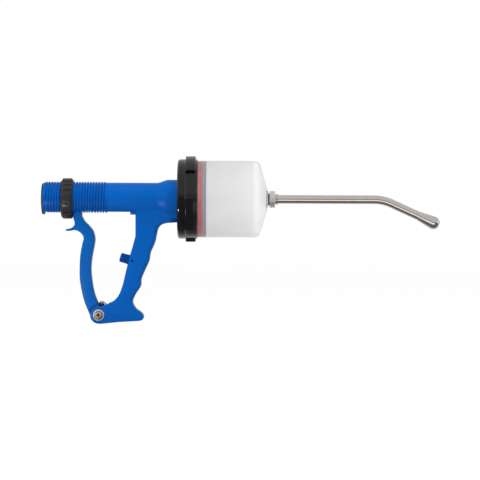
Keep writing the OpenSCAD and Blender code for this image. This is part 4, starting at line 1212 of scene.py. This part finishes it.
class DRENCHER_OT_knob(bpy.types.Operator):
    """Build the fluted stop knob"""

    bl_idname = "drencher.knob"
    bl_label = "Stop Knob"

    def execute(self, context):
        v = context.scene.drencher_lever
        sunk, stem_r, rib_half, rib_count, rib_turn = -0.0003, 0.0025, 0.00075, 10, 0.3
        step, core_r = sunk + v.collar_t, v.knob_r - 0.0011
        end, socket = step + v.knob_len, step + 0.003
        knob = lathe("head", rounded([
            (sunk, stem_r, 0), (sunk, v.collar_r, EDGE), (step, v.collar_r, 0.0004),
            (step + 0.0002, core_r, 0.0002), (end, core_r, 0.0007), (end, 0, 0),
            (socket, 0, 0), (socket, stem_r, 0),
        ], 5), 72)
        rib = block(
            "rib", (step, -rib_half, v.knob_r - 0.0017), (end - 0.0004, rib_half, v.knob_r), 0.0004,
        )
        ribs = around(rib, rib_count, rib_turn, finish("blue_knob"))
        piece = joined("fluted_stop_knob", knob, ribs)
        turn = Matrix.Rotation(math.pi + v.knob_tilt, 4, "Y")
        piece.data.transform(Matrix.Translation(KNOB_FACE) @ turn)
        dress(piece, "blue_knob", "stop_knob_body", "stop_knob", slot="blue_body")
        return {"FINISHED"}


class DRENCHER_OT_inside(bpy.types.Operator):
    """Give the pieces that keep their solid shape their finishes"""

    bl_idname = "drencher.inside"
    bl_label = "Inner Pieces"

    def execute(self, context):
        paints = {
            "front_plate": "black_plastic", "barrel_gasket": "black_rubber",
            "pivot_nut": "zinc_steel", "pivot_spacer": "zinc_steel", "stop_pin": "blue_dark",
            "nozzle_seal": "black_rubber", "outlet_retainer": "brass", "drive_pins": "zinc_steel",
            "piston_rod": "zinc_steel", "crosshead": "white_plastic", "hose_spigot": "white_plastic",
            "valve_hub": "white_plastic", "piston_rear_plate": "blue_plate", "piston_seal": "red_seal",
            "piston_front_plate": "blue_plate", "piston_nut": "white_plastic", "inlet_retainer": "brass",
            "inlet_ball": "ball_steel", "outlet_ball": "ball_steel", "ring_seal": "black_rubber",
            "stop_screw": "zinc_steel",
        }
        for node, paint in paints.items():
            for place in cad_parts[node].material_slots:
                place.material = finish(paint)
        return {"FINISHED"}


class DRENCHER_OT_stage(bpy.types.Operator):
    """Set the floor, the soft light and the camera"""

    bl_idname = "drencher.stage"
    bl_label = "Stage"

    def execute(self, context):
        scene = context.scene
        scene.view_settings.view_transform = "Standard"
        bm = bmesh.new()
        bmesh.ops.create_grid(bm, x_segments=8, y_segments=8, size=FLOOR_HALF)
        bmesh.ops.translate(bm, verts=bm.verts, vec=(*FLOOR_PLACE, cad_box[0].z - FLOOR_GAP))
        floor = new_piece("floor", bm)
        floor.data.materials.append(self.pale_floor())
        self.sky(scene)
        for lamp in LAMPS:
            self.lamp(*lamp)
        lens = bpy.data.cameras.new("camera")
        lens.lens, lens.sensor_width = CAMERA_LENS, CAMERA_SENSOR
        camera = placed("camera", lens)
        camera.location = CAMERA_PLACE
        camera.rotation_euler = CAMERA_TURN
        scene.camera = camera
        return {"FINISHED"}

    def lamp(self, name, place, aim, wide, tall, power, rays):
        """A soft lamp that only one kind of ray sees."""
        light = bpy.data.lights.new(name, "AREA")
        light.shape, light.size, light.size_y, light.energy = "RECTANGLE", wide, tall, power
        lamp = placed(name, light)
        lamp.location = place
        lamp.rotation_euler = (Vector(aim) - Vector(place)).to_track_quat("-Z", "Y").to_euler()
        for kind in ("camera", "diffuse", "glossy", "transmission"):
            setattr(lamp, "visible_" + kind, kind == rays)

    def by_ray(self, tree, output, plain, mirrored, white, share):
        """Shows a share of white to the camera and through the barrel, and mirrored in reflections."""
        out, seen, shown, ray, either, part = noded(
            tree, "ShaderNode", output, "MixShader", "MixShader", "LightPath", "Math", "Math",
        )
        either.operation, part.operation = "MAXIMUM", "MULTIPLY"
        part.inputs[1].default_value = share
        linked(
            tree, (ray, "Is Camera Ray", either, 0), (ray, "Is Transmission Ray", either, 1),
            (either, 0, part, 0), (ray, "Is Glossy Ray", shown, "Fac"), (plain, 0, shown, 1),
            (mirrored, 0, shown, 2), (part, 0, seen, "Fac"), (shown, 0, seen, 1), (white, 0, seen, 2),
            (seen, 0, out, "Surface"),
        )

    def pale_floor(self):
        """Paper that is white to the camera, keeps the shadow and carries a painted shade in reflections in
        front of and under the object.
        """
        paper = bpy.data.materials.new("pale_floor")
        paper.use_nodes = True
        tree = paper.node_tree
        tree.nodes.clear()
        lit, white, reflected_painted_shade, place, split = noded(
            tree, "ShaderNode", "BsdfDiffuse", "Emission", "Emission", "TexCoord", "SeparateXYZ",
        )
        lit.inputs["Color"].default_value = (0.86, 0.86, 0.86, 1)
        white.inputs["Color"].default_value = (1, 1, 1, 1)
        linked(tree, (place, "Object", split, "Vector"))
        # painted shade in reflections: dim up to the object's middle, brighter behind it
        painted_shade_fade = ranged(tree, split.outputs["Y"], 0.0, 0.08, 0.16, 0.8)
        tree.links.new(painted_shade_fade, reflected_painted_shade.inputs["Color"])
        self.by_ray(tree, "OutputMaterial", lit, reflected_painted_shade, white, FLOOR_WHITE_SHARE)
        return paper

    def sky(self, scene):
        """A white room to the camera and through the barrel, in reflections brightest above and aside."""
        world = bpy.data.worlds.new("studio")
        scene.world = world
        world.use_nodes = True
        tree = world.node_tree
        tree.nodes.clear()
        white, soft, glossy = noded(tree, "ShaderNode", *["Background"] * 3)
        white.inputs["Color"].default_value = (1, 1, 1, 1)
        soft.inputs["Color"].default_value = (0.45, 0.45, 0.45, 1)
        way, split, wide = noded(tree, "ShaderNode", "TexCoord", "SeparateXYZ", "Math")
        wide.operation = "ABSOLUTE"
        linked(tree, (way, "Generated", split, "Vector"), (split, "X", wide, 0))
        bright = ranged(tree, split.outputs["Z"], 0.02, 0.28, 0.15, 0.72)
        for other in (
            ranged(tree, split.outputs["Y"], -0.1, 0.4, 0.1, 0.72),
            ranged(tree, wide.outputs[0], 0.75, 0.95, 0.1, 1.1),
        ):
            most = tree.nodes.new("ShaderNodeMath")
            most.operation = "MAXIMUM"
            tree.links.new(bright, most.inputs[0])
            tree.links.new(other, most.inputs[1])
            bright = most.outputs[0]
        tree.links.new(bright, glossy.inputs["Color"])
        self.by_ray(tree, "OutputWorld", soft, glossy, white, 1.0)


STEPS = (
    DRENCHER_OT_body, DRENCHER_OT_rear_cap, DRENCHER_OT_lever, DRENCHER_OT_dose_ring,
    DRENCHER_OT_lock_ring, DRENCHER_OT_barrel, DRENCHER_OT_nozzle, DRENCHER_OT_springs,
    DRENCHER_OT_pivot, DRENCHER_OT_knob, DRENCHER_OT_inside, DRENCHER_OT_stage,
)
GROUPS = {
    "drencher_body": DRENCHER_PG_body, "drencher_lever": DRENCHER_PG_lever,
    "drencher_rings": DRENCHER_PG_rings, "drencher_barrel": DRENCHER_PG_barrel,
    "drencher_nozzle": DRENCHER_PG_nozzle, "drencher_colours": DRENCHER_PG_colours,
}


class DRENCHER_PT_sidebar(bpy.types.Panel):
    """Lists the drencher's pieces in the sidebar"""

    bl_idname = "DRENCHER_PT_sidebar"
    bl_label = "Drencher"
    bl_space_type = "VIEW_3D"
    bl_region_type = "UI"
    bl_category = "Drencher"

    def draw(self, context):
        for step in STEPS:
            self.layout.operator(step.bl_idname)


def register():
    for name, group in GROUPS.items():
        bpy.utils.register_class(group)
        setattr(bpy.types.Scene, name, PointerProperty(type=group))
    for step in STEPS:
        bpy.utils.register_class(step)
    bpy.utils.register_class(DRENCHER_PT_sidebar)


def unregister():
    bpy.utils.unregister_class(DRENCHER_PT_sidebar)
    for step in reversed(STEPS):
        bpy.utils.unregister_class(step)
    for name, group in GROUPS.items():
        delattr(bpy.types.Scene, name)
        bpy.utils.unregister_class(group)


def main():
    register()
    bpy.ops.drencher.body()
    bpy.ops.drencher.rear_cap()
    bpy.ops.drencher.lever()
    bpy.ops.drencher.dose_ring()
    bpy.ops.drencher.lock_ring()
    bpy.ops.drencher.barrel()
    bpy.ops.drencher.nozzle()
    bpy.ops.drencher.springs()
    bpy.ops.drencher.pivot()
    bpy.ops.drencher.knob()
    bpy.ops.drencher.inside()
    bpy.ops.drencher.stage()


if __name__ == "__main__":
    main()
